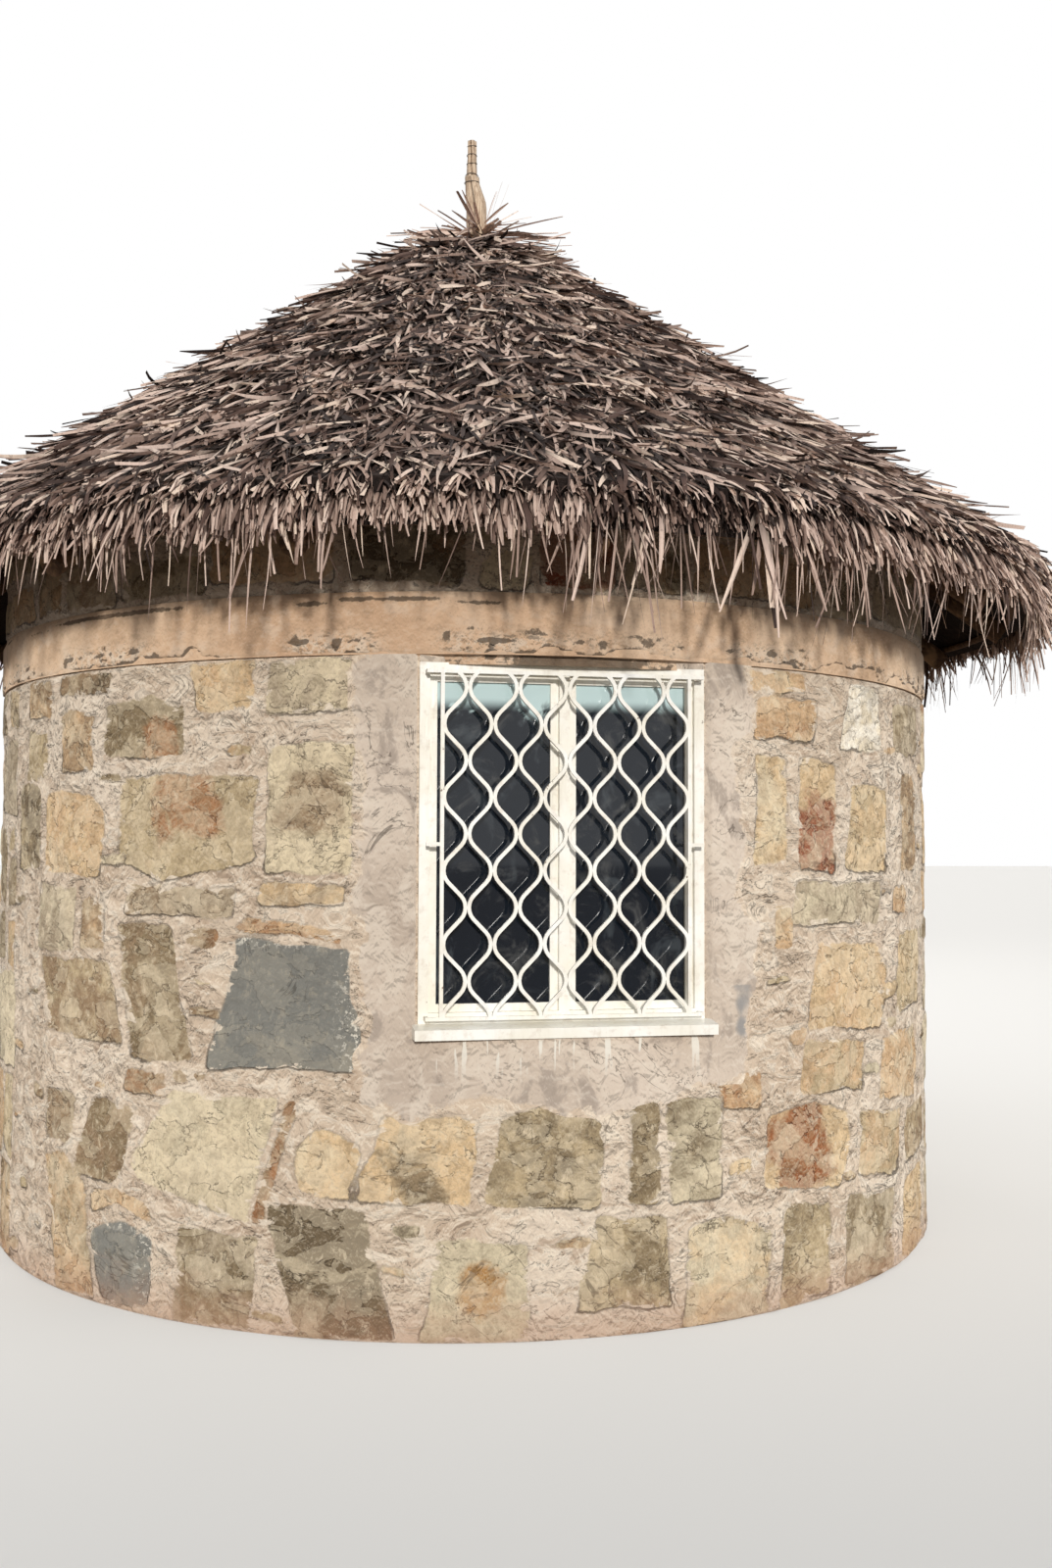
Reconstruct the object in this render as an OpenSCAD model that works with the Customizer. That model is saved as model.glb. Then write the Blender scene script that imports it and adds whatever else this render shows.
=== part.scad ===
// Rondavel hut: a round rubble-stone wall with a cast ring beam under a conical palm-leaf thatch.
// Millimetres, +Z up. The origin is on the ground at the hut's axis, and the window faces -Y.

/* [Walls] */
// Outer radius of the stone wall
wall_r = 2000; // [1800:10:2400]
// Thickness of the stone wall
wall_t = 300; // [240:10:380]
// Height of the stone wall from the ground to the ring beam
wall_h = 2200; // [2150:10:2500]
// Height of the cast ring beam
beam_h = 205; // [150:5:280]
// How far the ring beam stands out from the stone wall
beam_proud = 14; // [6:1:30]
// Bevel along the ring beam's upper outer edge
beam_bevel = 12; // [4:1:20]
// Height of the stone course above the ring beam
head_h = 350; // [300:5:500]
// Thickness of the floor slab and of the door's threshold
floor_t = 100; // [60:5:150]

/* [Window] */
// Width of the window opening
window_w = 962; // [800:2:1100]
// Height of the window opening's lower edge above the ground
window_z = 965; // [800:5:1050]
// Face width of the window's outer frame
frame_face = 34; // [25:1:45]
// Depth of the window's outer frame
frame_depth = 70; // [50:1:90]
// How far the frame's face lies behind the wall's foremost line
frame_set = 50; // [40:1:70]
// Face width of a sash stile
sash_face = 26; // [18:1:34]
// Depth of a sash
sash_depth = 30; // [20:1:40]
// Thickness of the glass
glass_t = 5; // [3:1:8]
// Height of the sill's nose
sill_h = 44; // [30:1:60]
// How far the sill's nose stands out from the wall's foremost line
sill_out = 34; // [15:1:60]
// How far the sill runs past the opening on each side
sill_horn = 20; // [8:1:30]
// Height of the mortar bed between the window frame and the ring beam
head_bed = 24; // [12:1:40]

/* [Window grille] */
// Side of the square bars
bar = 12; // [8:1:14]
// Distance from the edge of the window opening to the centre of a side bar
grille_side = 68; // [50:1:90]
// Distance from the grille's middle plane to the frame's face
grille_standoff = 48; // [30:1:60]
// Number of wavy bars across the grille
wave_bars = 10; // [6:2:14]
// Height of one full wave
wave_pitch = 236; // [220:2:280]
// Radius of the rounded crests at the bar's middle line
crest_r = 55; // [48:1:58]
// Gap from the sill's top to the grille's lower rail
grille_lift = 14; // [8:1:30]

/* [Door] */
// Width of the door opening
door_w = 900; // [760:5:1000]
// How far the door frame's face lies behind the wall's outermost line
door_set = 120; // [90:5:200]
// Face width of the door frame
door_frame_face = 50; // [40:1:70]
// Depth of the door frame
door_frame_depth = 90; // [60:1:110]
// Thickness of the door leaf
leaf_t = 42; // [30:1:50]
// Running gap round the door leaf
leaf_gap = 4; // [2:1:8]
// Height of the door handle above the floor slab
handle_h = 1020; // [900:10:1100]

/* [Plaster] */
// Thickness of the plaster round the window and the door
plaster_t = 12; // [6:1:20]
// Width of the plaster beside and below the window
plaster_band = 190; // [100:5:260]

/* [Roof frame] */
// Pitch of the roof
roof_pitch = 36.5; // [32:0.5:42]
// Radius of the rafter poles at the eave
rafter_r = 45; // [35:1:55]
// Radius of the rafter poles at the top
rafter_tip_r = 34; // [25:1:45]
// Radius of the round battens
batten_r = 14; // [8:1:20]
// Width of the wall plate
plate_w = 110; // [90:2:150]
// Height of the wall plate
plate_h = 75; // [50:1:100]
// Depth of the rafters' seats on the wall plate
seat_cut = 18; // [8:1:30]
// How far the rafter tails end behind the thatch's lower edge
tail_back = 50; // [30:5:150]
// Radius at which the short rafters end below the top
jack_top_r = 960; // [700:10:1200]
// Distance up the slope from the thatch's lower edge to the lowest batten
batten_first = 60; // [50:5:120]
// Distance down the slope from the finial pole to the highest batten
batten_last = 380; // [250:10:500]

/* [Thatch] */
// How far the thatch's lower edge stands out from the wall's face
eave_out = 430; // [350:5:600]
// Thickness of the thatch
thatch_t = 130; // [100:5:190]
// Height of the step at the foot of each row of leaf tiles
course_step = 24; // [10:1:40]
// How far each course runs up beneath the next one
course_lap = 260; // [180:5:320]
// Distance down the slope from the finial pole to the last course's upper end
course_last = 120; // [80:5:200]
// How far the thatch's rounded top lies below the cone's own height
cap_sink = 84; // [20:2:120]
// Height of the fringe of leaf ends below the eave
fringe_drop = 55; // [40:5:280]
// How far the fringe stands out from the thatch's lower edge
fringe_out = 130; // [100:5:150]

/* [Finial] */
// Height of the finial pole's top above the thatch's upper end
finial_h = 550; // [300:5:700]
// Radius of the finial pole at the foot
pole_r = 32; // [24:1:45]
// Radius of the finial pole at the tip
pole_tip_r = 16; // [10:1:24]
// Length of the finial pole below the thatch's upper end
pole_foot = 460; // [400:10:700]
// Radius of the leaf sheath at its foot
sheath_r = 52; // [44:1:60]
// Height of the leaf sheath
sheath_h = 375; // [200:5:450]

/* [Hidden] */
WALL_BAYS = 5;
HEAD_STONES = 3;
COURSES = 6;
ROWS = 3;
PANELS = 12;
TUFTS = 48;
TUFT_RATIOS = [1, 0.72, 1.2, 0.86];
RAFTERS = 8;
BATTENS = 6;
CREST_STEPS = 3;

fit = 0.3;
panel_gap = 0.12;
head_joint = 0.14;
cap_mouth = 55;
weld = 0.6;
over = 50;
wall_in = wall_r - wall_t;
beam_top = wall_h + beam_h;
head_top = beam_top + head_h;
eave_r = wall_r + eave_out;

frame_top = wall_h - head_bed;
frame_low = window_z + sill_h;
frame_h = frame_top - frame_low;
frame_front = -(wall_r - frame_set);
frame_w = window_w - 2 * fit;
mullion_w = frame_face;
sash_w = (frame_w - 2 * frame_face - mullion_w) / 2 - 2 * fit;
sash_h = frame_h - 2 * frame_face - 2 * fit;
sash_x = (mullion_w + sash_w) / 2 + fit;
sash_z = frame_low + frame_face + fit;
sash_y = frame_front + frame_depth / 2;
sill_back = wall_in + 60;

grille_y = frame_front - grille_standoff;
grille_low = window_z + sill_h + grille_lift + bar / 2;
grille_top = frame_top - frame_face;
grille_h = grille_top - grille_low;
grille_w = window_w - 2 * grille_side;
lane = grille_w / wave_bars;
swing = lane / 2 - bar / 2 + weld / 2;

door_top = wall_h - head_bed;
door_y = wall_r - door_set;
leaf_w = door_w - 2 * fit - 2 * door_frame_face - 2 * leaf_gap;
leaf_h = door_top - floor_t - door_frame_face - 2 * leaf_gap;
leaf_z = floor_t + leaf_gap;

plate_r = wall_in + wall_t / 2;
plate_top = head_top + plate_h;
// The rafters' upper line passes through this point, straight above the wall plate
rafter_line_z = plate_top - seat_cut + 2 * rafter_r / cos(roof_pitch);
thatch_lift = (2 * batten_r + 2 * fit) / cos(roof_pitch);
eave_z = rafter_line_z + thatch_lift + (plate_r - eave_r) * tan(roof_pitch);
slope_len = (eave_r - pole_r - fit) / cos(roof_pitch);
course_run = (slope_len - course_lap - course_last) / COURSES;
mouth_r = sheath_r + cap_mouth;
mouth_z = eave_z + (eave_r - mouth_r) * tan(roof_pitch) + thatch_t / cos(roof_pitch) - cap_sink;
collar_z = thatch_point(COURSES * course_run + course_lap, 0)[1];

$fn = 96;
RING_FN = 240;

// Part of a ring about the hut's axis, between two angles in degrees.
module ring_part(r_in, r_out, z_low, z_high, from, to) {
    rotate([0, 0, from])
        rotate_extrude(angle = to - from, $fn = RING_FN)
            translate([r_in, z_low]) square([r_out - r_in, z_high - z_low]);
}

// A box centred on the X axis that reaches from y_low to y_high.
module span_box(width, y_low, y_high, z_low, z_high) {
    translate([-width / 2, y_low, z_low]) cube([width, y_high - y_low, z_high - z_low]);
}

module window_cut() {
    span_box(window_w, -wall_r - over, -wall_in + wall_t, -over, wall_h + over);
}

module door_cut() {
    span_box(door_w, wall_in - wall_t, wall_r + over, -over, wall_h + over);
}

// Angle at which the seam after the given number of bays lies on the east side.
function seam(i) =
    let (after_window = -90 + asin(window_w / 2 / wall_r), before_door = 90 - asin(door_w / 2 / wall_r))
    i == 0 ? -90 : i == WALL_BAYS ? 90 : after_window + i * (before_door - after_window) / WALL_BAYS;

module wall_bay(i) {
    color("tan") difference() {
        ring_part(wall_in, wall_r, 0, wall_h, seam(i - 1), seam(i));
        window_cut();
        door_cut();
    }
}

module wall_bay_west(i) {
    mirror([1, 0, 0]) wall_bay(i);
}

module floor_slab() {
    color("darkgray") cylinder(r = wall_in - fit, h = floor_t, $fn = RING_FN);
}

module wall_under_window() {
    color("tan") intersection() {
        ring_part(wall_in, wall_r, 0, window_z, -120, -60);
        span_box(window_w - 2 * fit, -wall_r - over, -wall_in + wall_t, 0, window_z);
    }
}

module door_threshold() {
    color("darkgray") intersection() {
        ring_part(wall_in + fit, wall_r, 0, floor_t, 60, 120);
        span_box(door_w - 2 * fit, wall_in - wall_t, wall_r + over, 0, floor_t);
    }
}

module ring_beam() {
    beam_r = wall_r + beam_proud;
    color("burlywood") rotate_extrude($fn = RING_FN) polygon([
        [wall_in, wall_h], [beam_r, wall_h], [beam_r, beam_top - beam_bevel],
        [beam_r - beam_bevel, beam_top], [wall_in, beam_top]
    ]);
}

module wall_head(middle) {
    stone = 90 / HEAD_STONES;
    color("rosybrown") for (i = [0 : HEAD_STONES - 1]) {
        from = middle - 45 + i * stone;
        ring_part(wall_in, wall_r, beam_top, head_top, from + head_joint, from + stone - head_joint);
    }
}

// Plaster skin on the wall's face round an opening, with the bed over the opening's frame.
module plaster_skin(width, band, z_low, cut_low, bed_front, bed_back) {
    reach = asin((width / 2 + band) / wall_r);
    difference() {
        ring_part(wall_r + fit, wall_r + plaster_t, z_low, wall_h - fit, -90 - reach, -90 + reach);
        span_box(width, -wall_r - over, -wall_in, cut_low, wall_h + over);
    }
    span_box(width - 2 * fit, bed_front, bed_back, wall_h - head_bed + fit, wall_h - fit);
}

module window_plaster() {
    horn_w = window_w + 2 * sill_horn + 2 * fit;
    color("gainsboro") difference() {
        plaster_skin(window_w, plaster_band, window_z - plaster_band, window_z, frame_front, -wall_in - over);
        span_box(horn_w, -wall_r - over, -wall_in, window_z - fit, window_z + sill_h + fit);
    }
}

module window_sill() {
    nose_w = window_w + 2 * sill_horn;
    horn_back = -sqrt(wall_r * wall_r - window_w * window_w / 4) - fit;
    slope_drop = sill_h / 4;
    color("ivory") intersection() {
        union() {
            span_box(window_w - 2 * fit, horn_back - fit, -sill_back, window_z, window_z + sill_h);
            span_box(nose_w, -wall_r - sill_out, horn_back, window_z, window_z + sill_h);
        }
        rotate([90, 0, 90]) translate([0, 0, -nose_w / 2]) linear_extrude(nose_w) polygon([
            [-wall_r - sill_out, window_z], [-sill_back, window_z], [-sill_back, window_z + sill_h],
            [frame_front, window_z + sill_h], [-wall_r - sill_out, window_z + sill_h - slope_drop]
        ]);
    }
}

// A rectangular frame that stands on z_low, centred on x, with its middle plane at y.
module flat_frame(x, y, z_low, width, height, face, depth) {
    translate([x, y + depth / 2, z_low]) rotate([90, 0, 0]) linear_extrude(depth) difference() {
        translate([-width / 2, 0]) square([width, height]);
        translate([-width / 2 + face, face]) square([width - 2 * face, height - 2 * face]);
    }
}

module window_frame() {
    mid_y = frame_front + frame_depth / 2;
    color("ivory") {
        flat_frame(0, mid_y, frame_low, frame_w, frame_h, frame_face, frame_depth);
        span_box(mullion_w, frame_front, frame_front + frame_depth, frame_low + frame_face / 2, frame_top - frame_face / 2);
    }
}

module window_sash(side) {
    color("ivory") difference() {
        flat_frame(side * sash_x, sash_y, sash_z, sash_w, sash_h, sash_face, sash_depth);
        glass_pane(side, fit);
    }
}

// A pane that sits in a groove half as deep as the sash's face.
module glass_pane(side, slack) {
    groove = sash_face / 2;
    pane_w = sash_w - 2 * groove + 2 * slack;
    pane_h = sash_h - 2 * groove + 2 * slack;
    translate([side * sash_x - pane_w / 2, sash_y - glass_t / 2 - slack, sash_z + groove - slack])
        cube([pane_w, glass_t + 2 * slack, pane_h]);
}

module window_glass(side) {
    color("slategray", 0.5) glass_pane(side, 0);
}

// Lean of the straights between two crests, from the vertical.
wave_lean = wave_straight_lean();
function wave_straight_lean() =
    let (side = 2 * (swing - crest_r), rise = wave_pitch / 2, reach = norm([side, rise]))
    atan2(side, rise) + asin(min(1, 2 * crest_r / reach));

// Middle line of one wavy bar as points [x, z], one crest after another, starting at a crest.
function wave_points(side, count) = [
    for (i = [0 : count], t = [-CREST_STEPS : CREST_STEPS])
        let (way = (i % 2 == 0 ? 1 : -1) * side, turn = t / CREST_STEPS * wave_lean)
        [way * (swing - crest_r + crest_r * cos(turn)), i * wave_pitch / 2 + crest_r * sin(turn)]
];

function side_step(points, i) =
    let (
        a = points[max(i - 1, 0)],
        b = points[min(i + 1, len(points) - 1)],
        along = (b - a) / norm(b - a)
    )
    [along[1], -along[0]] * bar / 2;

// A flat bar of even width along a middle line.
module ribbon(points) {
    polygon(concat(
        [for (i = [0 : len(points) - 1]) points[i] + side_step(points, i)],
        [for (i = [len(points) - 1 : -1 : 0]) points[i] - side_step(points, i)]
    ));
}

module wavy_bars() {
    waves = ceil(2 * grille_h / wave_pitch) + 1;
    intersection() {
        for (i = [0 : wave_bars - 1])
            translate([(i + 0.5) * lane - grille_w / 2, 0])
                ribbon(wave_points(i % 2 == 0 ? -1 : 1, waves));
        translate([-grille_w / 2, 0]) square([grille_w, grille_h]);
    }
}

// A stand-off that carries the grille on the frame's face, at x and z.
module grille_standoff_bar(x, z) {
    translate([x - bar / 2, grille_y, z - bar / 2]) cube([bar, grille_standoff - fit, bar]);
}

module window_grille() {
    rail_w = frame_w - frame_face;
    color("white") {
        translate([0, grille_y + bar / 2, grille_low]) rotate([90, 0, 0]) linear_extrude(bar) {
            wavy_bars();
            for (x = [-1, 1]) translate([x * grille_w / 2 - bar / 2, 0]) square([bar, grille_h]);
            for (z = [0, grille_h]) translate([-rail_w / 2, z - bar / 2]) square([rail_w, bar]);
            for (x = [-rail_w / 2, grille_w / 2]) translate([x, (grille_h - bar) / 2])
                square([(rail_w - grille_w) / 2, bar]);
        }
        for (x = [-1, 1], z = [grille_low, grille_low + grille_h])
            grille_standoff_bar(x * (rail_w - bar) / 2, z);
    }
}

module door_plaster() {
    color("gainsboro") rotate([0, 0, 180])
        plaster_skin(door_w, plaster_band, floor_t, -over, -door_y, -door_y + door_frame_depth);
}

module door_frame() {
    color("ivory") difference() {
        span_box(door_w - 2 * fit, door_y - door_frame_depth, door_y, floor_t, door_top);
        span_box(door_w - 2 * fit - 2 * door_frame_face, door_y - door_frame_depth - over, door_y + over,
            floor_t - over, door_top - door_frame_face);
    }
}

module door_leaf() {
    panel_edge = 110;
    panel_deep = 6;
    panel_h = (leaf_h - 3 * panel_edge) / 2;
    color("ivory") difference() {
        span_box(leaf_w, door_y - leaf_t, door_y, leaf_z, leaf_z + leaf_h);
        for (i = [0, 1])
            span_box(leaf_w - 2 * panel_edge, door_y - panel_deep, door_y + over,
                leaf_z + panel_edge + i * (panel_h + panel_edge),
                leaf_z + panel_edge + i * (panel_h + panel_edge) + panel_h);
    }
}

module door_hinges() {
    knuckle_r = 9;
    knuckle_h = 100;
    color("silver") for (share = [0.12, 0.5, 0.88])
        translate([leaf_w / 2 + leaf_gap / 2, door_y + knuckle_r + fit, leaf_z + share * leaf_h - knuckle_h / 2])
            cylinder(r = knuckle_r, h = knuckle_h);
}

module door_handle() {
    rose_w = 44;
    rose_h = 160;
    rose_t = 8;
    lever_r = 9;
    lever_out = 52;
    lever_len = 120;
    color("silver") translate([-leaf_w / 2 + 60, door_y + fit, floor_t + handle_h]) {
        translate([-rose_w / 2, 0, -rose_h / 2]) cube([rose_w, rose_t, rose_h]);
        rotate([-90, 0, 0]) cylinder(r = lever_r, h = lever_out);
        translate([0, lever_out - lever_r, 0]) rotate([0, 90, 0]) cylinder(r = lever_r, h = lever_len);
    }
}

// The wall plate's ring; with slack it has room round it and cuts the rafters' seats.
module plate_ring(slack) {
    half = plate_w / 2 + slack;
    rotate_extrude() translate([plate_r - half, head_top]) square([2 * half, plate_h + slack]);
}

module wall_plate() {
    color("peru") plate_ring(0);
}

// A tapered pole below the rafters' upper line, from the tail in to the given radius.
module rafter(to_r) {
    tail_r = eave_r - tail_back;
    run = (tail_r - to_r) / cos(roof_pitch);
    full_run = tail_r / cos(roof_pitch);
    tip = rafter_r + (rafter_tip_r - rafter_r) * run / full_run;
    lean = roof_pitch + atan((rafter_r - tip) / run);
    tail_z = rafter_line_z + (plate_r - tail_r) * tan(roof_pitch);
    difference() {
        translate([tail_r - rafter_r * sin(roof_pitch), 0, tail_z - rafter_r * cos(roof_pitch)])
            rotate([0, lean - 90, 0]) cylinder(r1 = rafter_r, r2 = tip, h = run);
        plate_ring(fit);
    }
}

module main_rafters() {
    reach = eave_r;
    half = 180 / RAFTERS - 0.4;
    color("saddlebrown") for (i = [0 : RAFTERS - 1]) rotate([0, 0, (i + 0.5) * 360 / RAFTERS])
        difference() {
            intersection() {
                rafter(0);
                linear_extrude(mouth_z) polygon([
                    [0, 0], [reach, -reach * tan(half)], [reach, reach * tan(half)]
                ]);
            }
            cylinder(r = pole_r + fit, h = mouth_z + over);
        }
}

module short_rafters() {
    color("saddlebrown") for (i = [0 : RAFTERS - 1]) rotate([0, 0, i * 360 / RAFTERS]) rafter(jack_top_r);
}

// Point [r, z] on the roof's section: s up the slope from the eave, n out from the thatch's underside.
function thatch_point(s, n) = [
    eave_r - s * cos(roof_pitch) + n * sin(roof_pitch),
    eave_z + s * sin(roof_pitch) + n * cos(roof_pitch)
];

module battens() {
    spacing = (slope_len - batten_first - batten_last) / (BATTENS - 1);
    color("sienna") for (i = [0 : BATTENS - 1])
        rotate_extrude() translate(thatch_point(batten_first + i * spacing, -batten_r - fit)) circle(r = batten_r);
}

// One ring of thatch panels with the given section, its seams shifted by half a panel on every other ring.
module panel_ring(section, shift) {
    panel = 360 / PANELS;
    for (i = [0 : PANELS - 1])
        rotate([0, 0, (i + shift) * panel]) rotate_extrude(angle = panel - panel_gap) polygon(section);
}

// A course of tiles laid in rows, each with a step at its foot, over the upper end of the course below.
module thatch_course(k) {
    low = (k - 1) * course_run;
    high = k * course_run;
    row = course_run / ROWS;
    color(k % 2 == 0 ? "dimgray" : "gray") panel_ring(concat(
        [for (j = [0 : ROWS - 1], n = [thatch_t, thatch_t + course_step]) thatch_point(low + j * row, n)],
        [
            thatch_point(high - fit, thatch_t),
            thatch_point(high + course_lap - fit, 0),
            thatch_point(k == 1 ? 0 : low + course_lap, 0)
        ]
    ), k % 2 / 2);
}

// Point [r, z] on the cap's rounded top: share runs from its foot to its mouth, n stands out from it.
function cap_point(share, n) =
    let (foot = thatch_point(COURSES * course_run, thatch_t))
    [
        foot[0] + (mouth_r - foot[0]) * share + n * sin(roof_pitch),
        foot[1] + (mouth_z - foot[1]) * sin(90 * share) + n * cos(roof_pitch)
    ];

module thatch_cap() {
    collar_r = pole_r + fit;
    color("dimgray") rotate_extrude() polygon(concat(
        [for (j = [0 : ROWS - 1], n = [0, course_step]) cap_point(j / ROWS, n)],
        [
            [mouth_r, mouth_z],
            [collar_r, mouth_z],
            [collar_r, collar_z],
            thatch_point(COURSES * course_run + course_lap, 0)
        ]
    ));
}

// Leaf ends that hang from the eave in tufts of uneven length.
module eave_fringe() {
    lip = thatch_point(-fit, thatch_t + course_step);
    root = thatch_point(-fit, 0);
    tuft = 360 / TUFTS;
    color("tan") for (i = [0 : TUFTS - 1]) {
        drop = fringe_drop * TUFT_RATIOS[i % len(TUFT_RATIOS)];
        rotate([0, 0, i * tuft]) rotate_extrude(angle = tuft - panel_gap) polygon([
            root,
            [root[0] - fringe_out / 4, root[1] - drop],
            [root[0] + fringe_out / 2, root[1] - drop - fringe_out / 5],
            [root[0] + fringe_out, root[1] - drop / 3],
            [root[0] + fringe_out, root[1]],
            lip
        ]);
    }
}

module finial_cone(slack) {
    translate([0, 0, mouth_z - pole_foot])
        cylinder(r1 = pole_r + slack, r2 = pole_tip_r + slack, h = pole_foot + finial_h);
}

module finial_pole() {
    color("peru") finial_cone(0);
}

module finial_sheath() {
    color("wheat") difference() {
        translate([0, 0, mouth_z + fit]) cylinder(r1 = sheath_r, r2 = pole_r, h = sheath_h);
        finial_cone(fit);
    }
}

floor_slab();
wall_bay(1);  // wall_east_1
wall_bay(2);  // wall_east_2
wall_bay(3);  // wall_east_3
wall_bay(4);  // wall_east_4
wall_bay(5);  // wall_east_5
wall_bay_west(1);  // wall_west_1
wall_bay_west(2);  // wall_west_2
wall_bay_west(3);  // wall_west_3
wall_bay_west(4);  // wall_west_4
wall_bay_west(5);  // wall_west_5
wall_under_window();
door_threshold();
ring_beam();
wall_head(-90);  // wall_head_front
wall_head(0);  // wall_head_east
wall_head(90);  // wall_head_back
wall_head(180);  // wall_head_west
window_plaster();
window_sill();
window_frame();
window_sash(-1);  // window_sash_left
window_sash(1);  // window_sash_right
window_glass(-1);  // window_glass_left
window_glass(1);  // window_glass_right
window_grille();
door_plaster();
door_frame();
door_leaf();
door_hinges();
door_handle();
wall_plate();
main_rafters();
short_rafters();
battens();
thatch_course(1);  // thatch_course_1
thatch_course(2);  // thatch_course_2
thatch_course(3);  // thatch_course_3
thatch_course(4);  // thatch_course_4
thatch_course(5);  // thatch_course_5
thatch_course(6);  // thatch_course_6
thatch_cap();
eave_fringe();
finial_pole();
finial_sheath();
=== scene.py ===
# %% [markdown]
# A rondavel hut: dressing a construction model.
# The construction model gives the hut's walls, beam, window, door, roof frame and thatch at their real sizes.
# This lesson adds what makes it look built by hand: rubble stones in smeared mortar, a pitted ring beam,
# weathered white paint, and tens of thousands of dry palm leaves. The model's own boxes place everything.

# %% Load the frame and measure it
import math

import bpy
import numpy as np
from mathutils import Matrix, Vector
from mathutils.kdtree import KDTree


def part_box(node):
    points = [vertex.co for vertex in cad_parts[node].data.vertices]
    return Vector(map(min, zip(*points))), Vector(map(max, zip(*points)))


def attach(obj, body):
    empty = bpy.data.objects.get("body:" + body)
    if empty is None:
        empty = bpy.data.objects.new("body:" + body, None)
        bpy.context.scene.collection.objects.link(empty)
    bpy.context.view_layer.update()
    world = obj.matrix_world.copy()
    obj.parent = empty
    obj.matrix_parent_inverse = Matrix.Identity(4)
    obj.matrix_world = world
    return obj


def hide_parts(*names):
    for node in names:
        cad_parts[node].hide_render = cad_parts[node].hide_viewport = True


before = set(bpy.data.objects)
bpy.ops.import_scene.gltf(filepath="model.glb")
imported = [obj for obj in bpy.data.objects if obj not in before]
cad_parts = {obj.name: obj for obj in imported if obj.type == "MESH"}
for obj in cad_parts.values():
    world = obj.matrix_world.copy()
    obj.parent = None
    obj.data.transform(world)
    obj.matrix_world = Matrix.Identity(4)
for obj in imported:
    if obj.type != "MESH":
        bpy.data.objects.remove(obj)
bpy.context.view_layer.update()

WALL_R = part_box("wall_east_3")[1].x
WALL_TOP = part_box("wall_east_3")[1].z
BEAM_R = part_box("ring_beam")[1].x
BEAM_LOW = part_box("ring_beam")[0].z
BEAM_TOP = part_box("ring_beam")[1].z
HEAD_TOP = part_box("wall_head_front")[1].z
WINDOW_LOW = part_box("wall_under_window")[1].z
WINDOW_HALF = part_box("wall_under_window")[1].x
DOOR_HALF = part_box("door_threshold")[1].x
print("wall radius %.3f m, ring beam %.3f to %.3f m" % (WALL_R, BEAM_LOW, BEAM_TOP))

# %% [markdown]
# The roof is a cone, so two numbers from the model place anything on it: the radius and the height of the
# thatch's lower outer edge. A point on the roof is then given by its angle and its distance up the slope.

# %% Measure the roof
ROOF_PITCH = math.radians(36.5)
THATCH_T = 0.154
EAVE_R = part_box("thatch_course_1")[1].x
EAVE_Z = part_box("thatch_course_1")[0].z + THATCH_T * math.cos(ROOF_PITCH)
SLOPE = EAVE_R / math.cos(ROOF_PITCH)
MOUTH_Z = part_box("finial_sheath")[0].z
CAP_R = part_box("thatch_cap")[1].x
SHEATH_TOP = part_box("finial_sheath")[1].z
POLE_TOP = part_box("finial_pole")[1].z
print("roof slope %.2f m from the eave at %.2f m to the tip" % (SLOPE, EAVE_Z))

# %% [markdown]
# Small helpers come first. Operators act on whatever is selected, so each modelling step starts by
# deselecting everything. A finished piece keeps its place in its mesh and its object at the origin.

# %% Selection helpers
def select_none():
    for obj in bpy.context.selected_objects:
        obj.select_set(False)
    bpy.context.view_layer.objects.active = None


def make_active(obj):
    select_none()
    obj.select_set(True)
    bpy.context.view_layer.objects.active = obj


def edit(obj):
    make_active(obj)
    bpy.ops.object.mode_set(mode="EDIT")


def leave_edit():
    bpy.ops.object.mode_set(mode="OBJECT")


def join_as(name, objects):
    select_none()
    for obj in objects:
        obj.select_set(True)
    bpy.context.view_layer.objects.active = objects[0]
    if len(objects) > 1:
        bpy.ops.object.join()
    objects[0].name = objects[0].data.name = name
    return objects[0]


def apply_place(obj):
    make_active(obj)
    bpy.ops.object.transform_apply(location=True, rotation=True, scale=True)


# %% Mesh helpers
def points_of(obj):
    flat = np.empty(len(obj.data.vertices) * 3, np.float32)
    obj.data.vertices.foreach_get("co", flat)
    return flat.reshape(-1, 3).astype(float)


def set_points(obj, points):
    obj.data.vertices.foreach_set("co", np.asarray(points, np.float32).ravel())
    obj.data.update()


def add_colour(obj, name, colours):
    """Stores one colour for each vertex as an attribute that a material can read."""
    layer = obj.data.attributes.new(name, "FLOAT_COLOR", "POINT")
    rgba = np.ones((len(colours), 4), np.float32)
    rgba[:, :3] = colours
    layer.data.foreach_set("color", rgba.ravel())


def add_numbers(obj, **numbers):
    """Stores numbers for each vertex in the same way, each array under its own name."""
    for name, values in numbers.items():
        layer = obj.data.attributes.new(name, "FLOAT", "POINT")
        layer.data.foreach_set("value", np.asarray(values, np.float32))


made_triangles = {}


def settle(obj, material, smooth=False):
    """Gives a finished piece its body and its material."""
    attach(obj, "root")
    obj.data.materials.clear()
    obj.data.materials.append(material)
    obj.data.polygons.foreach_set("use_smooth", [smooth] * len(obj.data.polygons))
    made_triangles[obj.name] = sum(len(face.vertices) - 2 for face in obj.data.polygons)
    print("%s: %d triangles" % (obj.name, made_triangles[obj.name]))
    return obj


# %% [markdown]
# The hut is round, so flat work is easier: stones and mortar are laid out on an unrolled wall, where u is the
# distance along the wall from the window's centre line and z is the height. One function then wraps the
# finished work round the hut. The window is at -Y, and u grows towards +X.

# %% Wrapping flat work round the hut
def wrap(points):
    """Turns [u, height, out] into a place on the round wall, where out is the distance from its face."""
    angle = points[:, 0] / WALL_R
    reach = WALL_R + points[:, 2]
    return np.stack([reach * np.sin(angle), -reach * np.cos(angle), points[:, 1]], 1)


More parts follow.
